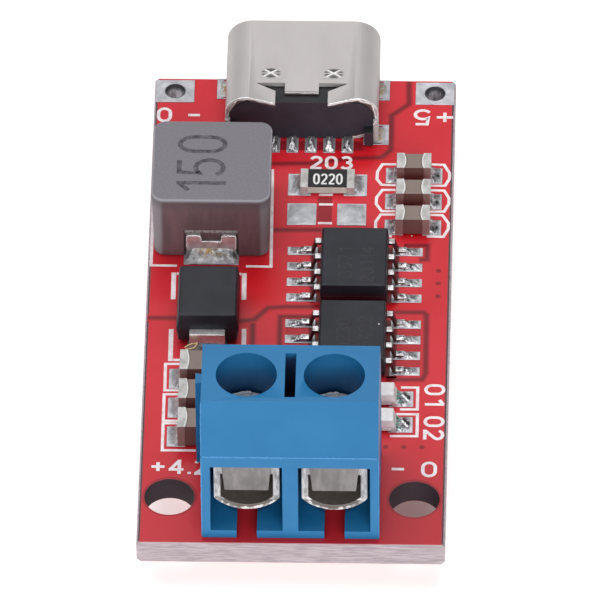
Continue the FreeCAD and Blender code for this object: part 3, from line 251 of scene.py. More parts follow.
# ----------------------------------------
# Circuit board. Glass cloth in resin, 1.6 mm thick, under a glossy red solder mask on both faces.
# The long edges are snapped along a score line, and the short ones are cut, which bares the glass.
# ----------------------------------------
DEEP_SPOTS = [  # where the mask lies over bare glass and looks deeper: middle and half-widths
    (3.4, 28.0, 2.2, 1.6), (-2.2, 17.2, 1.5, 2.4), (6.6, 21.9, 1.8, 1.0), (4.4, 15.6, 3.0, 0.7),
    (-4.0, 27.6, 3.4, 0.9), (-2.6, 24.0, 0.7, 3.0),
]
mask = Finish("masked_laminate", specular=0.3).on("circuit_board")
red = mask.mottle(7.0, (0.660, 0.026, 0.041), (0.600, 0.018, 0.030), 0.38, 0.62)
deep = 0.0
for x, y, half_x, half_y in DEEP_SPOTS:
    reach = mask.squares(mask.math("DIVIDE", mask.off("X", x), half_x),
                         mask.math("DIVIDE", mask.off("Y", y), half_y))
    deep = mask.math("MAXIMUM", mask.ramp(reach, 0.3, 1.5, 1.0, 0.0), deep)
red = mask.blend(mask.times(deep, 0.8), red, (0.590, 0.003, 0.008))
# Painted shade: the red darkens towards the front edge, by the terminal.
red = mask.blend(mask.ramp(mask.part("Y"), -4, 9, 0.5, 0.0), red, (0.400, 0.020, 0.028))
red = mask.blend(mask.stored("gap_and_shade"), red, (0.190, 0.008, 0.014))  # darker where no copper lies underneath, and painted shade along the rows of chip leads
glass = mask.mottle(0.13, (0.34, 0.275, 0.30), (0.54, 0.465, 0.495), 0.36, 0.64, (8, 1, 0.6), 5.0)
OUTER_X, OUTER_Y = 8.7, 18.8  # past these from the middle, a wall is the board's own edge
outer = mask.math("MAXIMUM", mask.math("GREATER_THAN", mask.away("X"), OUTER_X),
                  mask.math("GREATER_THAN", mask.away("Y", BOARD_MIDDLE_Y), OUTER_Y))
glass = mask.blend(outer, (0.046, 0.030, 0.038), glass)  # drilled walls are dark
height = mask.part("Z")
glass = mask.blend(mask.times(mask.ramp(height, 1.50, 1.585), 0.7), glass, (0.42, 0.12, 0.13))
covered = mask.math("MAXIMUM", mask.math("GREATER_THAN", height, BOARD_TOP - 0.01),
                    mask.math("LESS_THAN", height, 0.01))
mask.set("Base Color", mask.blend(covered, glass, red))
mask.set("Roughness", mask.ramp(covered, 0, 1, 0.75, 0.30))
mask.relief(0.9, 0.006, detail=2.0)


def sheet(grid, *values, closed=False, flipped=False):
    """Form of a grid of corners: its corners, its faces, and each value spread over the grid.

    Closed joins the last column to the first, and flipped turns the faces over.
    """
    cell = np.arange(grid[..., 0].size).reshape(grid.shape[:2])
    if closed:
        cell = np.hstack([cell, cell[:, :1]])
    faces = np.stack([cell[:-1, :-1], cell[:-1, 1:], cell[1:, 1:], cell[1:, :-1]], -1)
    return (grid.reshape(-1, 3), faces.reshape(-1, 4)[:, ::-1 if flipped else 1],
            *(np.broadcast_to(value, grid.shape[:2]).ravel() for value in values))


def joined(forms):
    """Corners, faces and any values of several forms as one."""
    first = np.cumsum([0] + [len(form[0]) for form in forms[:-1]])
    faces = np.vstack([form[1] + start for form, start in zip(forms, first)])
    return (np.vstack([form[0] for form in forms]), faces,
            *(np.concatenate([form[k] for form in forms]) for k in range(2, len(forms[0]))))


def ribbon(lines, width, level, profile=(-1, 1), step_up=0.0006, shades=0):
    """Flat strips of a width that follow lines of (x, y) points at one level.

    At each point the strip is set out along the mitre: the mean of the two side directions,
    divided by the cosine of half the turn. Profile gives the places across the strip, from -1
    to 1, and shades a value at each. Each line lies step_up above the one before, four deep, so
    that crossings are clean.
    """
    forms = []
    across_share = np.array(profile, float)
    for index, line in enumerate(lines):
        points = np.array(line, float)
        step = np.diff(points, axis=0)
        step /= np.linalg.norm(step, axis=1)[:, None]
        side = np.stack([-step[:, 1], step[:, 0]], 1)
        closed = np.allclose(points[0], points[-1])
        before = np.vstack([side[-1:] if closed else side[:1], side])
        after = np.vstack([side, side[:1] if closed else side[-1:]])
        mitre = before + after
        mitre /= np.linalg.norm(mitre, axis=1)[:, None]
        mitre /= np.clip((mitre * after).sum(1), 0.5, 1)[:, None]
        spots = points[:, None] - mitre[:, None] * (across_share[:, None] * width / 2)
        high = np.full((*spots.shape[:2], 1), level + step_up * (index % 4))
        forms.append(sheet(np.concatenate([spots, high], 2), shades, flipped=True))
    return joined(forms)


def store(mesh, key, numbers, where="POINT"):
    """Keep a value for each corner, or each face, of a mesh under a name."""
    held = mesh.attributes.new(key, "FLOAT", where)
    held.data.foreach_set("value", np.asarray(numbers, np.float32))


def shown(name, mesh, finish, body):
    """Object of a mesh with one finish, that rides on a body of the frame."""
    obj = bpy.data.objects.new(name, mesh)
    bpy.context.scene.collection.objects.link(obj)
    lay(finish, obj)
    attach(obj, body)
    return obj


def piece(name, form, finish, slot, body="module", smooth=False, held=()):
    """New piece of corners in mm, faces, and a value per corner for each name in held."""
    corners, faces, *values = form
    mesh = bpy.data.meshes.new(name)
    mesh.from_pydata((corners * MM).tolist(), [], faces.tolist())
    if smooth:
        mesh.shade_smooth()
    for key, numbers in zip(held, values):
        store(mesh, key, numbers)
    return shown(name, mesh, finish, body)


COPPER_GAPS = [
    [(6.06, 34.15), (6.1, 32.29), (5.09, 31.29), (5.1, 28.44), (4.58, 27.81), (2.85, 27.7),
     (0.41, 27.26), (-2.79, 27.16), (-8.6, 27.16)],
    [(-1.9, 21.71), (1.7, 21.77), (5.4, 21.77)],
    [(6.02, 20.53), (7.38, 20.55), (7.37, 19.42), (6.91, 19.35)],
    [(-8.7, 14.4), (-7.03, 14.42), (-3.33, 14.23), (-2.53, 14.33), (-1.74, 15.32),
     (-0.76, 15.42), (1.4, 15.46)],
    [(-2.60, 14.25), (-2.52, 9.6)],
    [(5.2, 15.06), (7.22, 15.08), (7.42, 14.88), (7.45, 10.08), (7.26, 9.63), (5.2, 9.57)],
    [(1.2, 14.62), (-1.01, 14.62), (-1.0, 9.57), (1.2, 9.57)],
]
GAP_SHARE = (-1, -0.62, -0.3, 0, 0.3, 0.62, 1)
MASKED = {"finish": mask, "slot": "board_laminate", "held": ("gap_and_shade",)}
piece("copper_gaps", ribbon(COPPER_GAPS, 0.56, BOARD_TOP + 0.004, GAP_SHARE, 0.0015,
                            (0, 0.4, 0.9, 1, 0.9, 0.4, 0)), **MASKED)
HOLE_X, RIM_RADIUS = 7.0, 1.52
turn = np.linspace(0, 2 * np.pi, 49)
rims = [np.stack([x + RIM_RADIUS * np.cos(turn), RIM_RADIUS * np.sin(turn)], 1)
        for x in (-HOLE_X, HOLE_X)]
piece("drilled_rims", ribbon(rims, 0.14, BOARD_TOP + 0.003, GAP_SHARE,
                             shades=(0, 0.3, 0.7, 0.8, 0.7, 0.3, 0)), **MASKED)
BARE_AND_SHADE_ZONES = [  # middle and half-sizes of places with no copper between lands, and how dark; the last four lie along the rows of chip leads and are painted shade
    (1.35, 23.12, 0.46, 0.72, 0.75), (1.35, 24.2, 0.46, 0.3, 0.75), (0.35, 12.1, 1.2, 2.3, 0.42),
    (6.0, 12.1, 1.3, 2.3, 0.42), (0.85, 28.72, 2.9, 0.42, 0.85), (1.05, 18.08, 0.45, 2.45, 1.4),
    (5.35, 18.08, 0.45, 2.45, 1.4), (1.05, 12.15, 0.45, 2.45, 1.4), (5.35, 12.15, 0.45, 2.45, 1.4),
]


def soft_patch(middle_x, middle_y, half_x, half_y, dark, level):
    """Grid over a rectangle, with a value of dark inside that falls to 0 at its rim."""
    wide, down = np.meshgrid(*[np.array([-1, -0.85, 0, 0.85, 1.0])] * 2)
    grid = np.stack([middle_x + wide * half_x, middle_y + down * half_y,
                     np.full_like(wide, level)], -1)
    return sheet(grid, ((np.abs(wide) < 0.9) & (np.abs(down) < 0.9)) * dark)


piece("bare_glass_and_shade_zones", joined([soft_patch(*zone, BOARD_TOP + 0.0015 + 0.0005 * index)
                                  for index, zone in enumerate(BARE_AND_SHADE_ZONES)]), **MASKED)


def turned(x, y, rings, fine, **how):
    """Surface round an upright axis, of rings that are each a radius, a height and a value."""
    turn = np.linspace(0, 2 * np.pi, fine, endpoint=False)
    grid = np.array([[(x + r * np.cos(t), y + r * np.sin(t), z) for t in turn]
                     for r, z, _ in rings])
    return sheet(grid, [[value] for *_, value in rings], closed=True, **how)


def disc(x, y, radius, level):
    """Flat round cap with a value that falls from 1 in the middle to 0 at its rim."""
    rings = [(radius * share, level, value) for share, value in ((0, 1), (0.55, 0.8), (1, 0))]
    return turned(x, y, rings, 20, flipped=True)


VIAS = ((5.27, 4.17), (6.31, 4.17), (7.35, 4.17), (8.05, 16.42), (8.05, 17.46), (8.05, 18.5))
piece("tented_vias", joined([disc(x, y, 0.2, BOARD_TOP + 0.004) for x, y in VIAS]), **MASKED)

# ----------------------------------------
# Legend. White epoxy ink, screen-printed on the mask: frames round the parts, bars between
# lands, and plain signs and numbers.
# ----------------------------------------
ink = Finish("white_ink", 0.55).mottled(0.5, (0.80, 0.66, 0.69), (0.92, 0.86, 0.88), detail=5.0)
ink.relief(0.12, 0.01)
INK_LEVEL = BOARD_TOP + 0.012
FRAMES = [
    [(-5.6, 26.64), (-1.75, 26.64), (-1.65, 18.69), (-3.1, 18.70)],
    [(-7.1, 18.69), (-8.6, 18.70), (-8.62, 26.64), (-7.2, 26.64)],
    [(-6.69, 10.68), (-7.53, 10.67), (-7.51, 8.53), (-6.69, 8.54)],
    [(-6.69, 8.22), (-7.54, 8.21), (-7.53, 6.07), (-6.68, 6.08)],
    [(-6.68, 5.88), (-7.53, 5.87), (-7.52, 3.7), (-5.6, 3.71)],
    [(6.06, 8.96), (7.03, 8.96), (7.03, 7.2), (6.04, 7.19)],
    [(5.82, 6.80), (7.05, 6.80), (7.05, 5.04), (5.5, 5.03)],
    [(5.45, 27.24), (4.64, 27.23), (4.36, 26.62), (4.34, 26.0), (4.62, 25.53), (5.45, 25.51)],
    [(7.5, 27.26), (8.23, 27.24), (8.56, 26.55), (8.55, 26.06), (8.31, 25.51), (7.48, 25.5)],
    [(5.44, 25.12), (4.68, 25.11), (4.35, 24.49), (4.34, 23.93), (4.67, 23.35), (5.44, 23.36)],
    [(7.49, 25.12), (8.27, 25.1), (8.56, 24.48), (8.56, 24.0), (8.3, 23.37), (7.47, 23.36)],
    [(5.44, 23.08), (4.62, 23.07), (4.34, 22.49), (4.33, 22.01), (4.61, 21.31), (5.3, 21.28)],
    [(7.48, 23.09), (8.2, 23.07), (8.56, 22.42), (8.56, 21.93), (8.28, 21.29), (7.32, 21.3)],
    [(1.0, 24.67), (1.80, 24.67)], [(1.01, 23.86), (1.84, 23.86)], [(0.99, 22.31), (1.81, 22.31)],
]
WIDE_BARS = [
    [(-7.26, 18.13), (-7.24, 15.94)], [(-3.18, 18.13), (-3.15, 15.96)],
    [(-7.28, 13.5), (-7.26, 10.9)], [(-3.08, 13.58), (-3.05, 11.2)],
]
THIN_BARS = [[(-7.1, 18.04), (-6.6, 18.04)], [(-3.34, 18.05), (-3.8, 18.05)],
             [(-7.1, 11.0), (-6.6, 11.0)]]


def bow(middle_x, middle_y, radius_x, radius_y, start, stop):
    """Points of an elliptic arc between two angles in degrees."""
    turn = np.radians(np.linspace(start, stop, 13))
    return np.stack([middle_x + radius_x * np.cos(turn), middle_y + radius_y * np.sin(turn)], 1)


STROKES = {  # each sign in a box 0.62 wide and 1 high, as the pen draws it
    "0": [np.vstack([bow(0.31, 0.66, 0.27, 0.34, 0, 180), bow(0.31, 0.34, 0.27, 0.34, 180, 360),
                     [(0.58, 0.66)]])],
    "1": [[(0.10, 0.78), (0.38, 1.0)], [(0.38, 1.05), (0.38, -0.04)]],
    "2": [np.vstack([bow(0.31, 0.72, 0.27, 0.28, 165, -35), [(0.06, 0.04)]]),
          [(-0.02, 0.0), (0.62, 0.0)]],
    "3": [bow(0.29, 0.75, 0.25, 0.25, 150, -90), bow(0.29, 0.26, 0.29, 0.26, 90, -150)],
    "4": [[(0.46, -0.04), (0.46, 1.04)], [(0.46, 0.98), (0.04, 0.3)], [(-0.04, 0.3), (0.66, 0.3)]],
    "5": [np.vstack([[(0.56, 1.0), (0.12, 1.0), (0.08, 0.55)],
                     bow(0.29, 0.33, 0.29, 0.31, 130, -150)])],
    "7": [[(0.0, 1.0), (0.64, 1.0)], [(0.58, 1.0), (0.22, -0.04)]],
    "+": [[(0.0, 0.5), (0.62, 0.5)], [(0.31, 0.17), (0.31, 0.83)]],
    "-": [[(0.04, 0.5), (0.58, 0.5)]],
    ".": [[(0.08, -0.04), (0.08, 0.12)]],
    " ": [],
}
ADVANCE = {".": 0.34, " ": 0.5, "1": 0.66}


def lettered(words, left, foot, height, width, turn=0.0):
    """Pen lines of a word from its lower left corner: each sign is scaled to the height and to
    width times its own width, and the word is turned in degrees about that corner."""
    lines, pen = [], 0.0
    for sign in words:
        lines += [np.array(stroke, float) * (height * width, height) + (pen, 0)
                  for stroke in STROKES[sign]]
        pen += ADVANCE.get(sign, 0.86) * height * width
    turn = math.radians(turn)
    spin = np.array([[math.cos(turn), math.sin(turn)], [-math.sin(turn), math.cos(turn)]])
    return [line @ spin + (left, foot) for line in lines]


SIGNS = [
    ("+4.2", -8.1, 1.86, 1.05, 1.15), ("- 0", 5.6, 1.86, 1.05, 1.25),
    ("- 0", -6.05, 31.68, 1.02, 1.25, 180), ("+5", 8.68, 31.78, 1.18, 1.3, 180),
    ("203", 0.45, 26.86, 0.92, 1.12), ("01", 7.5, 9.2, 1.02, 1.25, -90),
    ("02", 7.5, 6.6, 1.02, 1.2, -90),
]
pen_lines = [line for sign in SIGNS for line in lettered(*sign)]
for name, lines, width in (("frames", FRAMES, 0.18), ("bars", WIDE_BARS, 0.27),
                           ("returns", THIN_BARS, 0.2), ("signs", pen_lines, 0.20)):
    piece(f"legend_{name}", ribbon(lines, width, INK_LEVEL), ink, "board_laminate")

# ----------------------------------------
# Bare metal of the board: hot-air tinned copper lands and the solder on them, both faces.
# ----------------------------------------
SHARP = math.radians(28)


def softened(name, source, finish, radius, slot, facets=2, body="module", **marks):
    """Copy of a CAD node with its edges rounded by a bevel; it stands in for the node.

    Each mark is a function that gives a value for each face from the faces' middles in mm and
    their normals.
    """
    mesh = nodes[source].data.copy()
    mesh.name = name
    work = bmesh.new()
    work.from_mesh(mesh)
    bmesh.ops.remove_doubles(work, verts=work.verts, dist=2e-7)
    bmesh.ops.dissolve_limit(work, angle_limit=math.radians(0.6), verts=work.verts,
                             edges=work.edges)
    work.to_mesh(mesh)
    work.free()
    mesh.shade_smooth()
    mesh.set_sharp_from_angle(angle=SHARP)
    middles, normals = (np.zeros(3 * len(mesh.polygons)) for _ in range(2))
    mesh.polygons.foreach_get("center", middles)
    mesh.polygons.foreach_get("normal", normals)
    for key, rule in marks.items():
        store(mesh, key, rule(middles.reshape(-1, 3) / MM, normals.reshape(-1, 3)), "FACE")
    obj = shown(name, mesh, finish, body)
    bevel = obj.modifiers.new("edge_radius", "BEVEL")
    bevel.width = radius * MM
    bevel.segments = facets
    bevel.limit_method = "ANGLE"
    bevel.angle_limit = SHARP
    bevel.harden_normals = True
    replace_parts(obj, source)
    return obj


tinned = Finish("tinned_land", metallic=0.6)
wear = tinned.ramp(tinned.grain(0.7, detail=4.0), 0.35, 0.68)
tinned.set("Base Color", tinned.blend(wear, (0.42, 0.42, 0.46), (0.62, 0.62, 0.66)))
tinned.set("Roughness", tinned.ramp(wear, 0, 1, 0.5, 0.34))
tinned.relief(0.35, 0.02)
softened("tinned_lands", "solder_lands", tinned, 0.03, "tinned_copper")
solder = Finish("bright_solder").on("underside_solder")
flow, glint_and_shine = solder.grain(0.30, detail=4.0), solder.stored("glint_and_shine")
# Painted light on the solder: dark hollows are painted shade and white spots are painted glints,
# both as strong as the value the joints carry, which also makes the solder more metallic and
# smoother.
hollow = solder.times(solder.ramp(flow, 0.47, 0.40), glint_and_shine, 0.9)
solder_painted_glint = solder.times(solder.ramp(flow, 0.54, 0.62), glint_and_shine)
amber = solder.times(solder.stored("flux"), solder.ramp(solder.grain(0.22), 0.42, 0.55))
colour = solder.mottle(0.9, (0.38, 0.39, 0.42), (0.56, 0.57, 0.60), 0.35, 0.65)
colour = solder.blend(solder_painted_glint, colour, (1.0, 1.0, 1.0))
colour = solder.blend(hollow, colour, (0.045, 0.030, 0.032))
solder.set("Base Color", solder.blend(amber, colour, (0.42, 0.26, 0.08)))
solder.set("Metallic", solder.ramp(glint_and_shine, 0, 0.5, 0.25, 0.7))
solder.set("Roughness", solder.ramp(glint_and_shine, 0, 1, 0.60, 0.22))
solder.relief(solder.times(flow, solder.ramp(glint_and_shine, 0, 1, 0.12, 1.0)), 0.16)


def islands(source):
    """Lowest and highest corner, and highest edge's middle, of each loose solid of a node."""
    work = bmesh.new()
    work.from_mesh(nodes[source].data)
    bmesh.ops.remove_doubles(work, verts=work.verts, dist=2e-7)
    work.verts.ensure_lookup_table()
    seen, found = set(), []
    for start in work.verts:
        if start.index in seen:
            continue
        group, queue = [], [start]
        seen.add(start.index)
        while queue:
            corner = queue.pop()
            group.append(corner.co / MM)
            for edge in corner.link_edges:
                other = edge.other_vert(corner)
                if other.index not in seen:
                    seen.add(other.index)
                    queue.append(other)
        spots = np.array(group)
        high_corner = spots.max(0)
        ridge = spots[spots[:, 2] > high_corner[2] - 0.01].mean(0)
        found.append((spots.min(0), high_corner, ridge))
    work.free()
    return found


def meniscus(low_corner, high_corner, ridge, swell=1.0, inward=0.0, crown=0.0, square=2.6,
             glint_and_shine=1.0, flux=0.0, narrow=0.86, fine=11):
    """Solder fillet in one joint's box, as a grid over (run, width), with the strength of its
    painted glints and shade, and its flux.

    Run goes from 0 at the part's end to 1 at the toe. The height falls as (1 - run) squared,
    which is the hollow curve that wet solder takes, and rounds off to the sides as the root of
    1 - width to the power square. Inward carries it back over a lead's foot by that many mm at
    crown above the ridge. Narrow and swell are its half-widths there and at the toe.
    """
    middle = (low_corner + high_corner) / 2
    size = high_corner - low_corner
    axis = int(np.argmax(np.abs((ridge - middle)[:2]) / size[:2]))
    sign = 1 if ridge[axis] < middle[axis] else -1
    run = np.linspace(0, 1, fine)
    if inward:
        run = np.concatenate([np.linspace(-inward / size[axis], 0, 6)[:-1], run])
    run = run[:, None]
    held = np.clip(run, 0, 1)
    wide = np.linspace(-1, 1, 2 * fine - 1)[None, :]
    spread = size[1 - axis] / 2 * (narrow + (swell - narrow) * np.sin(held * math.pi / 2))
    edge = np.clip(1 - np.abs(wide) ** square, 0, 1) ** 0.5
    end = np.clip(1 - (np.clip(-run, 0, 1) / max(inward / size[axis], 1e-6)) ** 4, 0, 1)
    tall = (size[2] * ((1 - held) ** 2 * 0.94 + 0.06) + crown * (1 - held)) * edge * end
    reach = size[axis] * np.where(run > 0, run * (0.9 + 0.1 * edge), run)
    grid = np.zeros((len(run), 2 * fine - 1, 3))
    grid[..., axis] = middle[axis] - sign * size[axis] / 2 + sign * reach
    grid[..., 1 - axis] = middle[1 - axis] + wide * spread
    grid[..., 2] = low_corner[2] + tall
    fade = np.where(run < 0.35, 1.0, np.clip(1.35 - run, 0.12, 1)) * glint_and_shine
    stain = flux * np.exp(-((run - 0.1) / 0.35) ** 2) * np.exp(-(wide / 0.5) ** 2)
    return sheet(grid, fade, stain, flipped=(axis == 0) == (sign > 0))


def tail_cone(x, toe, tall=0.30, run=0.78, fine=9):
    """Solder on a contact tail: a mound that widens and falls from its tip to the toe."""
    wide, down = np.meshgrid(np.linspace(-1, 1, fine), np.linspace(0, 1, fine))
    round_off = np.sqrt(np.clip(1 - np.abs(wide) ** 2.2, 0, 1))
    high = 1.79 + (tall * (1 - down) ** 0.8 + 0.02) * round_off - 0.12 * down ** 3
    grid = np.stack([x + wide * (0.09 + 0.25 * down), toe + run * (1 - down), high], -1)
    return sheet(grid, 1.0, 0.0, flipped=True)


def pillow(x, y, half_x, half_y, level, tall, glint_and_shine, flux, fine=9):
    """Low mound of solder or flux over a rectangle, highest in the middle: both ways its height
    falls as 1 - share to the fourth power. The far side is drawn in by up to a sixth."""
    wide, down = np.meshgrid(*[np.linspace(-1, 1, fine)] * 2)
    pinch = 1 - 0.16 * np.clip(down, 0, 1) ** 3
    grid = np.stack([x + wide * half_x * pinch, y + down * half_y,
                     level + tall * ((1 - wide ** 4) * (1 - down ** 4))], -1)
    return sheet(grid, glint_and_shine, flux * np.exp(-(wide / 0.6) ** 2 - (down / 0.75) ** 2))


FAR = 99
JOINT_KINDS = [  # the first range of x and of y that holds a joint's middle gives its form
    (-3.2, 3.2, 27.3, FAR, None),  # contact tails
    (-FAR, 4, 24, FAR, {"glint_and_shine": 0.4, "square": 5}),  # rear clip and sense resistor
    (-1.5, FAR, 9, 21.5, {"inward": 0.55, "crown": 0.05, "narrow": 0.8}),  # chip leads
    (4.5, FAR, -FAR, 9.3, {}),  # lamps
    (4.5, FAR, -FAR, FAR, {"glint_and_shine": 0.9, "square": 5}),  # input capacitors
    (-FAR, -3, 14, FAR,  # front clip and rear diode lead
     {"swell": 1.02, "glint_and_shine": 0.6, "flux": 1.0, "square": 8, "narrow": 0.95}),
    (-FAR, FAR, -FAR, FAR, {"glint_and_shine": 0.35, "flux": 0.3, "square": 5}),  # all others
]
fillets, tails = [], []
for joint in islands("solder_joints"):
    x, y = (joint[0] + joint[1])[:2] / 2
    form = next(form for left, right, front, rear, form in JOINT_KINDS
                if left < x < right and front < y < rear)
    if form is None:
        tails.append(tail_cone(x, joint[0][1]))
    else:
        fillets.append(meniscus(*joint, **form))
WET = {"finish": solder, "slot": "solder", "smooth": True, "held": ("glint_and_shine", "flux")}
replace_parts(piece("solder_fillets", joined(fillets), **WET), "solder_joints")
piece("tail_solder", joined(tails), **WET)
SOCKET_X = -0.1
legs = [pillow(SOCKET_X + x, y, 0.42, 0.66, BOARD_TOP + 0.02, 0.07, 0.15, 1.4)
        for x in (-4.5, 4.5) for y in (29.67, 33.37)]
domes = [pillow(x, 23.1, 0.80, 0.72, LAND_TOP + 0.006, 0.09, 0.12, 0) for x in (0.04, 2.90)]
piece("filled_slots", joined(legs + domes), **WET)
plating = Finish("hole_plating", 0.4, 0.5)
streaked = plating.mottle(0.25, (0.16, 0.16, 0.18), (0.66, 0.66, 0.70), 0.35, 0.6, (1, 1, 3), 4.0)
plating.set("Base Color", plating.blend(
    plating.ramp(plating.part("Z"), 1.1, 1.4), streaked, (0.10, 0.10, 0.11)))
INPUT_X, INPUT_Y = 7.6, 33.14
BARREL = [(0.6, 0, 0), (0.6, 1.64, 0), (0.57, 1.64, 0), (0.57, 0, 0), (0.6, 0, 0)]
piece("plated_barrels", joined([turned(x, INPUT_Y, BARREL, 40) for x in (-INPUT_X, INPUT_X)]),
      plating, "tinned_copper")

# ----------------------------------------
# USB-C socket: a nickel-plated steel shell folded to a stadium, black moulding, sprung contacts.
# ----------------------------------------


def places(mesh):
    """Corners of a mesh in mm."""
    spots = np.zeros(3 * len(mesh.vertices))
    mesh.vertices.foreach_get("co", spots)
    return spots.reshape(-1, 3) / MM


SHELL = places(nodes["usb_shell"].data)
SHELL_HALF = np.abs(SHELL[:, 0] - SOCKET_X).max()
SHELL_TALL = 1.63
SHELL_MIDDLE = SHELL[:, 2].max() - SHELL_TALL
SHELL_RADIUS = 1.2
SHELL_SHEET = 0.3


def sheet_depth(place):
    """Depth below the stadium that bounds the shell, as a share of the sheet.

    The stadium is all points within its radius of a straight middle line.
    """
    aside = np.maximum(np.abs(place[:, 0] - SOCKET_X) - SHELL_HALF + SHELL_RADIUS, 0)
    rise = np.maximum(np.abs(place[:, 2] - SHELL_MIDDLE) - SHELL_TALL + SHELL_RADIUS, 0)
    return (SHELL_RADIUS - np.hypot(aside, rise)) / SHELL_SHEET


nickel = Finish("nickel_sheet")
haze = nickel.ramp(nickel.grain(1.8, (1, 2.6, 1), 4.0), 0.3, 0.7)
sheared = nickel.stored("sheared")
plate = nickel.blend(haze, (0.495, 0.466, 0.464), (0.545, 0.515, 0.512))
frayed = nickel.math("ADD", nickel.stored("inward"),
                     nickel.ramp(nickel.grain(0.45), 0.3, 0.7, -0.14, 0.14))
# Painted light on the sheared face: a white band partway in is a painted highlight, and the dark
# red-brown innermost part is painted shade.
painted_lip_highlight = nickel.times(nickel.ramp(frayed, 0.26, 0.36), nickel.ramp(frayed, 0.62, 0.52))
cut = nickel.blend(nickel.ramp(frayed, 0.56, 0.70), plate, (0.11, 0.07, 0.07))
cut = nickel.blend(painted_lip_highlight, cut, (1.0, 1.0, 0.98))
nickel.set("Base Color", nickel.blend(sheared, plate, cut))
nickel.set("Roughness", nickel.ramp(haze, 0, 1, 0.50, 0.42))
nickel.set("Metallic", nickel.ramp(sheared, 0, 1, 0.18, 0.0))
nickel.relief(0.08, 0.004, detail=2.0)
shell = softened("socket_shell", "usb_shell", nickel, 0.06, "shell_steel",
                 sheared=lambda place, normal: (normal[:, 1] < -0.8) & (place[:, 1] < 30.4))
store(shell.data, "inward", sheet_depth(places(shell.data)))
punched = Finish("punched_steel", 0.45, 0.18)
# Painted light on the crosses: the raised arms are painted near white as a highlight, and the pits
# near black as shade.
raised = punched.blend(punched.stored("arm_highlight"), (0.52, 0.49, 0.488), (0.95, 0.94, 0.93))
punched.set("Base Color", punched.blend(punched.stored("pit_shade"), raised, (0.022, 0.020, 0.022)))


def cross_mark(x, y, level, fine=29):
    """Punched cross with raised arms between four pits, with values for the painted shade in the
    pits and the painted highlight on the arms.

    The arms are ridges along both diagonals of the rectangle, and the pits lie between them
    inside an ellipse.
    """
    wide, down = np.meshgrid(*[np.linspace(-1, 1, fine)] * 2)
    ridge = np.exp(-((np.abs(wide) - np.abs(down)) / 0.19) ** 2)
    inside = np.clip((1 - wide ** 2 - down ** 2) * 2.5, 0, 1)
    dip = inside * (1 - ridge) * (np.abs(down) > 0.12)
    grid = np.stack([x + wide * 0.62, y + down * 0.43,
                     level + 0.05 * ridge * inside - 0.004 * dip], -1)
    return sheet(grid, dip * 0.85, ridge * inside)


piece("punched_crosses", joined([cross_mark(SOCKET_X + x, 31.42, BOARD_TOP + 3.272)
                                 for x in (-1.83, 1.83)]),
      punched, "shell_steel", smooth=True, held=("pit_shade", "arm_highlight"))
black = Finish("socket_moulding", 0.5).relief(0.15, 0.01)
moulded = black.mottle(2.0, (0.030, 0.028, 0.042), (0.044, 0.040, 0.056), 0.35, 0.65)
# Painted shade: faces that look up are made near black.
black.set("Base Color", black.blend(black.stored("upper"), moulded, (0.004, 0.005, 0.008)))
softened("socket_insert", "usb_insert", black, 0.05, "socket_moulding",
         upper=lambda place, normal: normal[:, 2] > 0.7)
contact = Finish("contact_strip_tin", 0.35, 0.5).relief(0.2, 0.02).on("usb_contacts")
contact.mottled(0.2, (0.26, 0.23, 0.24), (0.34, 0.31, 0.32))

# ----------------------------------------
# Power inductor: pressed iron powder, painted grey, with two tinned clips.
# ----------------------------------------
powder = Finish("pressed_powder", 0.6, specular=0.3).relief(0.1, 0.012)
tall, aside = powder.part("Z"), powder.away("X", -5.12)
face = powder.mottle(0.12, (0.185, 0.178, 0.200), (0.220, 0.212, 0.236), 0.3, 0.7, detail=2.0)
# Painted light on the core: the front and back faces are dark red as a painted reflection of the
# red board, the side faces lighter grey, and all darken towards the top. A ragged pale band in the
# middle of the front and back faces, above the clips, is painted glints on the edge of a recess,
# and lit_rim is a painted highlight along the top edge.
flank = powder.mottle(0.6, (0.120, 0.072, 0.080), (0.175, 0.100, 0.108), 0.35, 0.65, (1, 1, 5),
                      4.0)
flank = powder.blend(powder.ramp(aside, 2.75, 2.95), flank, (0.225, 0.200, 0.215))
flank = powder.blend(powder.times(powder.ramp(tall, 5.3, 6.0), 0.6), flank, (0.085, 0.070, 0.075))
painted_edge_glints = powder.times(
    powder.math("LESS_THAN", aside, 1.56), powder.ramp(tall, 3.2, 3.3),
    powder.ramp(tall, 3.80, 3.68), powder.ramp(powder.grain(0.22), 0.38, 0.5))
flank = powder.blend(painted_edge_glints, flank, (0.42, 0.40, 0.40))
colour = powder.blend(powder.ramp(tall, 5.98, 6.12), flank, face)
lit_rim = powder.times(powder.ramp(tall, 6.12, 6.18), powder.ramp(tall, 6.246, 6.235), 0.7)
powder.set("Base Color", powder.blend(lit_rim, colour, (0.36, 0.35, 0.38)))
softened("inductor_block", "inductor_core", powder, 0.05, "powder_iron")
strip = Finish("tinned_strip", 0.3, 0.7).relief(0.25, 0.02, (1, 3, 1))
strip.mottled(0.5, (0.62, 0.60, 0.60), (0.90, 0.88, 0.88), 0.35, 0.65, detail=4.0)
for end in ("front", "rear"):
    softened(f"{end}_clip", f"inductor_clip_{end}", strip, 0.05, "tinned_copper")
paint = Finish("dark_marking", 0.6).mottled(
    0.35, (0.12, 0.11, 0.13), (0.050, 0.044, 0.060), 0.36, 0.6, detail=4.0)
piece("inductor_marking", ribbon(lettered("150", -4.38, 20.0, 2.62, 0.84, 90), 0.28,
                                 LAND_TOP + 4.604), paint, "powder_iron")

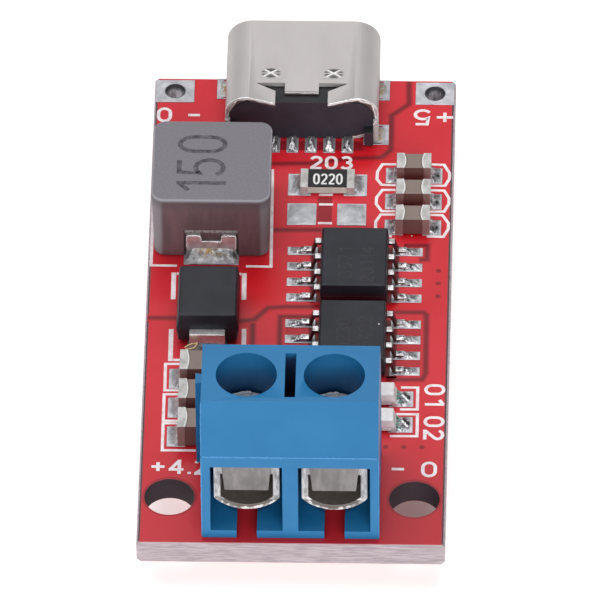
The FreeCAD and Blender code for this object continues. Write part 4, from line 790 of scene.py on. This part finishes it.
# ----------------------------------------
# Moulded parts: diode and chips of dark compound, with a seam round the chips, tinned leads and
# faint laser marks.
# ----------------------------------------
COMPOUND = (1.4, (0.013, 0.014, 0.021), (0.021, 0.022, 0.031), 0.35, 0.65)
epoxy = Finish("moulding_compound", 0.42, specular=0.35).relief(0.07, 0.008, detail=2.0)
epoxy.mottled(*COMPOUND)
softened("diode_moulding", "diode_body", epoxy, 0.12, "chip_moulding", 3)
chip_epoxy = Finish("chip_compound", 0.42, specular=0.35).relief(0.07, 0.008, detail=2.0)
seam = chip_epoxy.times(chip_epoxy.ramp(chip_epoxy.away("Z", 2.28), 0.06, 0.03),
                        chip_epoxy.ramp(chip_epoxy.grain(0.5), 0.35, 0.6))
chip_epoxy.set("Base Color", chip_epoxy.blend(
    seam, chip_epoxy.mottle(*COMPOUND), (0.085, 0.070, 0.075)))
for source in ("driver_chip", "control_chip"):
    softened(f"{source}_moulding", f"{source}_body", chip_epoxy, 0.09, "chip_moulding", 3)
for source in ("diode_lead_front", "diode_lead_rear"):
    softened(f"{source}_strip", source, strip, 0.035, "tinned_copper")
lead = Finish("lead_frame", 0.3, 0.6)
bent = lead.mottle(0.3, (0.40, 0.36, 0.36), (0.80, 0.79, 0.80), 0.4, 0.55, detail=4.0)
# Painted shade: the leads' upright faces below the shoulder are dark red-brown.
lead.set("Base Color", lead.blend(lead.stored("flank"), bent, (0.10, 0.045, 0.05)))
for source in ("driver_chip_leads", "control_chip_leads"):
    softened(f"{source}_strip", source, lead, 0.035, "tinned_copper",
             flank=lambda place, normal: (normal[:, 2] < 0.5) & (place[:, 2] < 2.25))
faint = Finish("laser_marking", 0.7, specular=0.3).mottled(
    0.3, (0.041, 0.040, 0.046), (0.054, 0.053, 0.059))
CHIP_ROWS = (("3571", 3.05, 16.35), ("20114", 4.3, 15.95), ("1230", 3.05, 10.6),
             ("5402", 4.3, 10.6))
digits = [line for row in CHIP_ROWS for line in lettered(*row, 0.72, 1.1, 90)]
piece("chip_marking", ribbon(digits, 0.09, LAND_TOP + 1.503), faint, "chip_moulding")

# ----------------------------------------
# Chip resistors, capacitors and lamps: fired ceramic with wrapped tin ends, and milky lenses. On
# a capacitor the tin ends in a bow.
# ----------------------------------------
alumina = Finish("alumina", 0.6).mottled(0.4, (0.62, 0.66, 0.59), (0.70, 0.74, 0.67))
alumina.relief(0.1, 0.01).on("sense_resistor_ceramic", "bias_resistor_ceramics")
coat = Finish("black_glass_coat", 0.3, specular=0.35).relief(0.4, 0.01)
coat.mottled(0.5, (0.006, 0.006, 0.008), (0.011, 0.011, 0.013))
coat.on("sense_resistor_coat", "bias_resistor_coats")
TIN = (0.5, (0.40, 0.39, 0.38), (0.62, 0.61, 0.60), 0.35, 0.65, (1, 1, 1), 4.0)
plain_tin = Finish("end_tin", 0.42, 0.15).mottled(*TIN).relief(0.2, 0.02)
fired = Finish("bowed_end_tin", 0.42, 0.15).relief(0.2, 0.02)
# Painted shade with a painted red reflection: faces that look to the front are made dull
# red-brown, on the tin ends and on the body.
front = fired.stored("front")
# The tin stops where reach, the distance from the part's end in mm, and 0.11 times the squared
# share of the half-width come to 0.56, with a pale seam along it.
sagged = fired.times(fired.math("POWER", fired.stored("beside"), 2.0), 0.11)
edge = fired.math("ADD", fired.math("ADD", fired.stored("reach"), sagged),
                  fired.times(fired.grain(0.3), 0.05))
seam = fired.times(fired.ramp(edge, 0.46, 0.52), fired.ramp(edge, 0.57, 0.55),
                   fired.math("SUBTRACT", 1.0, front), 0.8)
colour = fired.blend(front, fired.mottle(*TIN), (0.27, 0.165, 0.155))
colour = fired.blend(seam, colour, (0.90, 0.89, 0.86))
clay = fired.blend(fired.ramp(edge, 0.57, 0.68), (0.12, 0.10, 0.09), (0.235, 0.180, 0.155))
clay = fired.blend(front, clay, (0.150, 0.075, 0.066))
fired.set("Base Color", fired.blend(fired.ramp(edge, 0.56, 0.575), colour, clay))
for source in ("sense_resistor_ends", "bias_resistor_ends", "lamp_1_ends", "lamp_2_ends"):
    softened(f"{source}_tin", source, plain_tin, 0.08, "end_tin")
for stem in [f"{kind}_capacitor_{index}" for kind in ("input", "output") for index in (1, 2, 3)]:
    spots = places(nodes[f"{stem}_ends"].data)
    middle, half = (spots.max(0) + spots.min(0)) / 2, (spots.max(0) - spots.min(0)) / 2
    for part, radius, slot in (("ends", 0.09, "end_tin"), ("body", 0.02, "brown_ceramic")):
        made = softened(f"{stem}_{part}_fired", f"{stem}_{part}", fired, radius, slot, 3,
                        front=lambda place, normal: normal[:, 1] < -0.7)
        work = bmesh.new()
        work.from_mesh(made.data)
        for axis in ((1, 0, 0), (0, 1, 0)):
            bmesh.ops.bisect_plane(work, geom=work.verts[:] + work.edges[:] + work.faces[:],
                                   plane_co=Vector(middle) * MM, plane_no=axis)
        work.to_mesh(made.data)
        work.free()
        off = np.abs(places(made.data) - middle)
        store(made.data, "reach", half[0] - off[:, 0])
        store(made.data, "beside", off[:, 1] / half[1])
number_ink = Finish("resistor_marking", 0.5).mottled(0.3, (0.69, 0.69, 0.68), (0.81, 0.81, 0.80))
piece("resistor_marking", ribbon(lettered("0220", 0.68, 24.98, 0.78, 0.66), 0.12,
                                 LAND_TOP + 0.555), number_ink, "glass_coat")
milk = Finish("milky_resin", 0.35).relief(0.3, 0.03, (1, 4, 1))
milk.mottled(0.6, (0.66, 0.63, 0.65), (0.84, 0.82, 0.84), 0.35, 0.65)
for source, slot in (("lens", "lamp_resin"), ("base", "lamp_carrier")):
    for index in (1, 2):
        softened(f"lamp_{index}_{source}_resin", f"lamp_{index}_{source}", milk, 0.06, slot)

# ----------------------------------------
# Painted glints and shadows, ink and flux: fine white beads beside the joints as painted glints,
# dark ones as painted shadow, green ink on the lamps, amber flux, and white beads along the
# sheared edges of the shell and the front clip as painted highlights.
# ----------------------------------------


def bead(path, radius, wander, seed):
    """Thin tube along a 3-D line of points, whose radius and place wander a little.

    The ring at each point has six corners and lies across the line's direction there.
    """
    chance = np.random.default_rng(seed)
    path = path + chance.normal(0, wander, path.shape)
    way = np.gradient(path, axis=0)
    way /= np.linalg.norm(way, axis=1)[:, None]
    side = np.cross(way, (0.3, 0.5, 0.81))
    side /= np.linalg.norm(side, axis=1)[:, None]
    other = np.cross(way, side)
    turn = np.linspace(0, 2 * np.pi, 6, endpoint=False)
    girth = (radius * chance.uniform(0.75, 1.15, len(path)))[:, None, None]
    girth[0] = girth[-1] = radius * 0.1
    ring = side[:, None] * np.cos(turn)[:, None] + other[:, None] * np.sin(turn)[:, None]
    return sheet(path[:, None] + ring * girth, closed=True)


def straight(start, stop, count, radius, wander, seed):
    """Bead along a straight line of a count of points."""
    return bead(np.linspace(start, stop, count), radius, wander, seed)


def traced(corners, count):
    """Count of points along a line of corners, as many on each stretch."""
    corners = np.array(corners)
    run = np.linspace(0, len(corners) - 1, count)
    return np.stack([np.interp(run, range(len(corners)), corners[:, k]) for k in range(3)], 1)


green = Finish("green_ink", 0.5).mottled(0.1, (0.06, 0.30, 0.21), (0.10, 0.42, 0.31))
shade = Finish("painted_shadow", 0.35).mottled(0.1, (0.012, 0.012, 0.014), (0.032, 0.028, 0.028))
bright = Finish("painted_glint_finish", 0.18, 0.3).mottled(0.1, (0.90, 0.90, 0.92), (1.0, 1.0, 1.0))
LAMP_ROWS, CAPACITOR_ROWS = (8.0, 5.93), (26.15, 24.0, 21.87)
DABS = ((5.90, 0.38, 0.26), (5.98, 0.16, 0.20), (5.90, -0.2, 0.27), (5.99, -0.42, 0.18))
# Green ink dabs on the lamps; darks are painted shadow and lights painted glints, by the lamps'
# and capacitors' joints.
greens, darks, lights = [], [], []
for lamp_y in LAMP_ROWS:
    for seed, (x, y, tall) in enumerate(DABS):
        start = np.array((x - 0.09, lamp_y + y, LAND_TOP + tall))
        greens.append(straight(start, start + (0.20, 0.09, -0.10), 5, 0.05, 0.015, seed))
    start = np.array((6.12, lamp_y + 0.16, LAND_TOP + 0.17))
    lights.append(straight(start, start + (0.42, -0.42, -0.08), 8, 0.085, 0.02, 5))
    darks.append(straight(start + (0.10, 0.10, 0), start + (0.50, -0.24, -0.08), 8, 0.09, 0.02, 6))
darks += [straight((7.85, y + 0.12, LAND_TOP + 0.14), (7.93, y - 0.1, LAND_TOP + 0.10), 4,
                   0.10, 0.02, 7) for y in CAPACITOR_ROWS]
start = np.array((6.42, 21.28, BOARD_TOP + 0.06))
lights.append(straight(start, start + (0.09, 0, 0), 3, 0.06, 0, 8))
for name, finish, beads in (("lamp_polarity_ink", green, greens), ("painted_shadows", shade, darks),
                            ("painted_glint_beads", bright, lights)):
    piece(name, joined(beads), finish, "solder", smooth=True)
# Painted highlight: a white bead along the front clip's upper outline.
clip_low, clip_high = (np.array(corner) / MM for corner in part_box("inductor_clip_front"))
clip = np.array([(clip_low[0] + clip_high[0]) / 2, clip_low[1], clip_high[2]])
outline = [(-1.41, -1.1), (-1.41, -0.03), (-0.64, -0.03), (-0.58, -0.5)]
outline += [(-x, z) for x, z in outline[::-1]]
piece("clip_edge_highlight", bead(traced([clip + (x, 0, z) for x, z in outline], 80), 0.05, 0.008, 12),
      bright, "tinned_copper", smooth=True)
# Painted highlight: a white bead along the shell's sheared rear edge, just inside its outline.
CUT_Y = 29.37
LIP = 0.05  # how far inside the shell's outline the bead runs
sweep = np.radians(np.linspace(0, 90, 24))
corner = np.stack([
    SHELL_HALF - SHELL_RADIUS + (SHELL_RADIUS - LIP) * np.cos(sweep), np.full(24, CUT_Y),
    SHELL_MIDDLE + SHELL_TALL - SHELL_RADIUS + (SHELL_RADIUS - LIP) * np.sin(sweep)], 1)
side = np.linspace((corner[0, 0], CUT_Y, 2.6), corner[0] - (0, 0, LIP), 14)
flap = np.linspace((3.05, CUT_Y, corner[-1, 2]), (1.56, CUT_Y - 0.47, corner[-1, 2]), 20)
half_line = np.vstack([side, corner, flap])
piece("shell_edge_highlight", joined([bead(half_line * (sign, 1, 1) - (-SOCKET_X, 0, 0), 0.05, 0.006, 13)
                            for sign in (-1, 1)]), bright, "shell_steel", smooth=True)
gold = Finish("amber_flux", 0.3).mottled(0.2, (0.62, 0.45, 0.20), (0.80, 0.65, 0.36))
squiggle = [(-6.45, 11.22, 2.42), (-6.1, 11.40, 2.46), (-5.68, 11.60, 2.46), (-5.85, 11.18, 2.42),
            (-6.45, 11.06, 2.40)]
piece("flux_residue", bead(traced(squiggle, 24), 0.05, 0.015, 9), gold, "solder", smooth=True)
piece("chip_dot", disc(4.73, 12.56, 0.055, LAND_TOP + 1.505), ink, "chip_moulding")

# ----------------------------------------
# Screw terminal: blue moulded nylon housing, contact strips, rising cages and screws.
# ----------------------------------------
FACE_Y = -3.22
AXIS_Y = FACE_Y + 3.2
POLE_X = 2.5
WELL_RADIUS = 1.77
SLOT_HALF_WIDTH, SLOT_HALF_LENGTH = 0.32, 1.81
SCREW_RIM_RADIUS, SCREW_RIM_Z = 1.47, 8.66
nylon = Finish("blue_nylon", 0.4, specular=0.35).relief(0.5, 0.008, detail=2.0)
blue = nylon.mottle(3.0, (0.012, 0.162, 0.375), (0.016, 0.180, 0.405), 0.35, 0.65, detail=2.0)
height, beside = nylon.part("Z"), nylon.away("X")
radial = nylon.squares(nylon.math("SUBTRACT", beside, POLE_X), nylon.off("Y", AXIS_Y))
# Painted shade: the screw wells darken to navy lower down, and the key slot is dark below its top.
painted_well_shade = nylon.times(nylon.math("LESS_THAN", radial, WELL_RADIUS ** 2),
                      nylon.ramp(height, 11.55, 8.2), 0.75)
painted_slot_shade = nylon.times(
    nylon.math("LESS_THAN", beside, SLOT_HALF_WIDTH), nylon.ramp(height, 11.56, 11.1),
    nylon.math("LESS_THAN", nylon.away("Y", -0.03), SLOT_HALF_LENGTH))
blue = nylon.blend(painted_well_shade, blue, (0.014, 0.060, 0.150))
nylon.set("Base Color", nylon.blend(painted_slot_shade, blue, (0.020, 0.045, 0.120)))
softened("blue_housing", "terminal_housing", nylon, 0.10, "blue_housing")
# Lighter blue beads along the housing's front shoulder and upright edges.
pale_edge = Finish("pale_blue_edging", 0.4).mottled(0.4, (0.038, 0.235, 0.520), (0.054, 0.285, 0.600))
PALE_EDGE_LINES = [  # start and stop from the face, count of points, radius and wander
    ((-5.03, 0.02, 8.13), (5.03, 0.02, 8.13), 90, 0.055, 0.007),
    ((-5.04, 0.02, 1.7), (-5.04, 0.02, 8.1), 50, 0.045, 0.006),
    ((-5.04, 0.03, 8.15), (-5.04, 1.08, 11.5), 30, 0.04, 0.006),
    ((5.04, 0.02, 1.7), (5.04, 0.02, 8.1), 50, 0.03, 0.006),
]
beads = [straight(np.add(start, (0, FACE_Y, 0)), np.add(stop, (0, FACE_Y, 0)), *rest, seed)
         for seed, (start, stop, *rest) in enumerate(PALE_EDGE_LINES, 1)]
piece("pale_edge_lines", joined(beads), pale_edge, "blue_housing", smooth=True)


def sheet_zinc(name, light, shade, metallic=0.6):
    """Zinc plate: pale and ragged where it is sheared, and olive inside the cage's bend.

    The bend is an arc about an axis 3.68 mm above the board in each pole. Past 2.17 mm from
    that axis the sheared face is pale, and nearer it turns olive like the floor, as painted shade.
    """
    zinc = Finish(name, 0.38, metallic).relief(0.3, 0.02, (1, 3, 1))
    height, burr = zinc.part("Z"), zinc.grain(0.35, detail=4.0)
    radius = zinc.math("SQRT", zinc.squares(
        zinc.math("SUBTRACT", zinc.away("X"), POLE_X), zinc.off("Z", BOARD_TOP + 3.68)))
    ragged = zinc.math("ADD", radius, zinc.times(zinc.math("SUBTRACT", burr, 0.5), 0.35))
    rim = zinc.math("MAXIMUM", zinc.ramp(ragged, 2.15, 2.21),
                    zinc.math("GREATER_THAN", height, 3.75))
    # Painted shade: olive on the cage's floor, low on the screw, and on the inner part of the
    # cage's sheared face.
    olive = zinc.blend(burr, (0.120, 0.102, 0.090), (0.260, 0.225, 0.200))
    pale = zinc.blend(zinc.ramp(burr, 0.38, 0.56), (0.30, 0.28, 0.27), (1.0, 0.98, 0.96))
    upright = zinc.mottle(0.2, (0.26, 0.25, 0.26), (0.62, 0.61, 0.62), 0.40, 0.58, (1, 1, 5), 4.0)
    pale = zinc.blend(zinc.ramp(height, 3.7, 4.3, 0.0, 0.85), pale, upright)
    flat = zinc.mottle(0.5, shade, light, 0.35, 0.65, (1, 1, 3), 4.0)
    zinc.set("Base Color", zinc.blend(
        zinc.stored("sheared"), zinc.blend(zinc.stored("inner"), flat, olive),
        zinc.blend(rim, olive, pale)))
    return zinc


strip_zinc = sheet_zinc("strip_zinc", (0.27, 0.25, 0.25), (0.18, 0.165, 0.165))
cage_zinc = sheet_zinc("cage_zinc", (0.62, 0.60, 0.57), (0.42, 0.40, 0.37), 0.3)
# The screw's zinc is paler than the cage's: painted light that keeps the heads bright down in
# their wells.
screw_zinc = sheet_zinc("screw_zinc", (0.90, 0.90, 0.92), (0.70, 0.70, 0.72), 0.4)
# Painted glint: a white bead on the rear rim of each screw's head.
painted_rim_glint = Finish("painted_rim_glint", 0.6).mottled(0.2, (0.80, 0.80, 0.82), (1.0, 1.0, 1.0))
sweep = np.radians(np.linspace(80, 128, 16))
for side, x in (("left", -POLE_X), ("right", POLE_X)):
    softened(f"{side}_strip_metal", f"contact_strip_{side}", strip_zinc, 0.05, "strip_metal")
    softened(f"{side}_cage_sheet", f"clamp_cage_{side}", cage_zinc, 0.05, "cage_steel",
             body=f"{side}_cage", sheared=lambda place, normal: normal[:, 1] < -0.9,
             inner=lambda place, normal: (normal[:, 2] > 0.2) & (place[:, 2] < 4.2))
    softened(f"{side}_screw_steel", f"clamp_screw_{side}", screw_zinc, 0.06, "screw_steel",
             body=f"{side}_screw", inner=lambda place, normal: place[:, 2] < 8.55)
    rim = np.stack([x + SCREW_RIM_RADIUS * np.cos(sweep),
                    AXIS_Y + SCREW_RIM_RADIUS * np.sin(sweep), np.full(16, SCREW_RIM_Z)], 1)
    piece(f"{side}_screw_rim_glint", bead(rim, 0.10, 0.02, 11), painted_rim_glint, "screw_steel",
          f"{side}_screw", True)
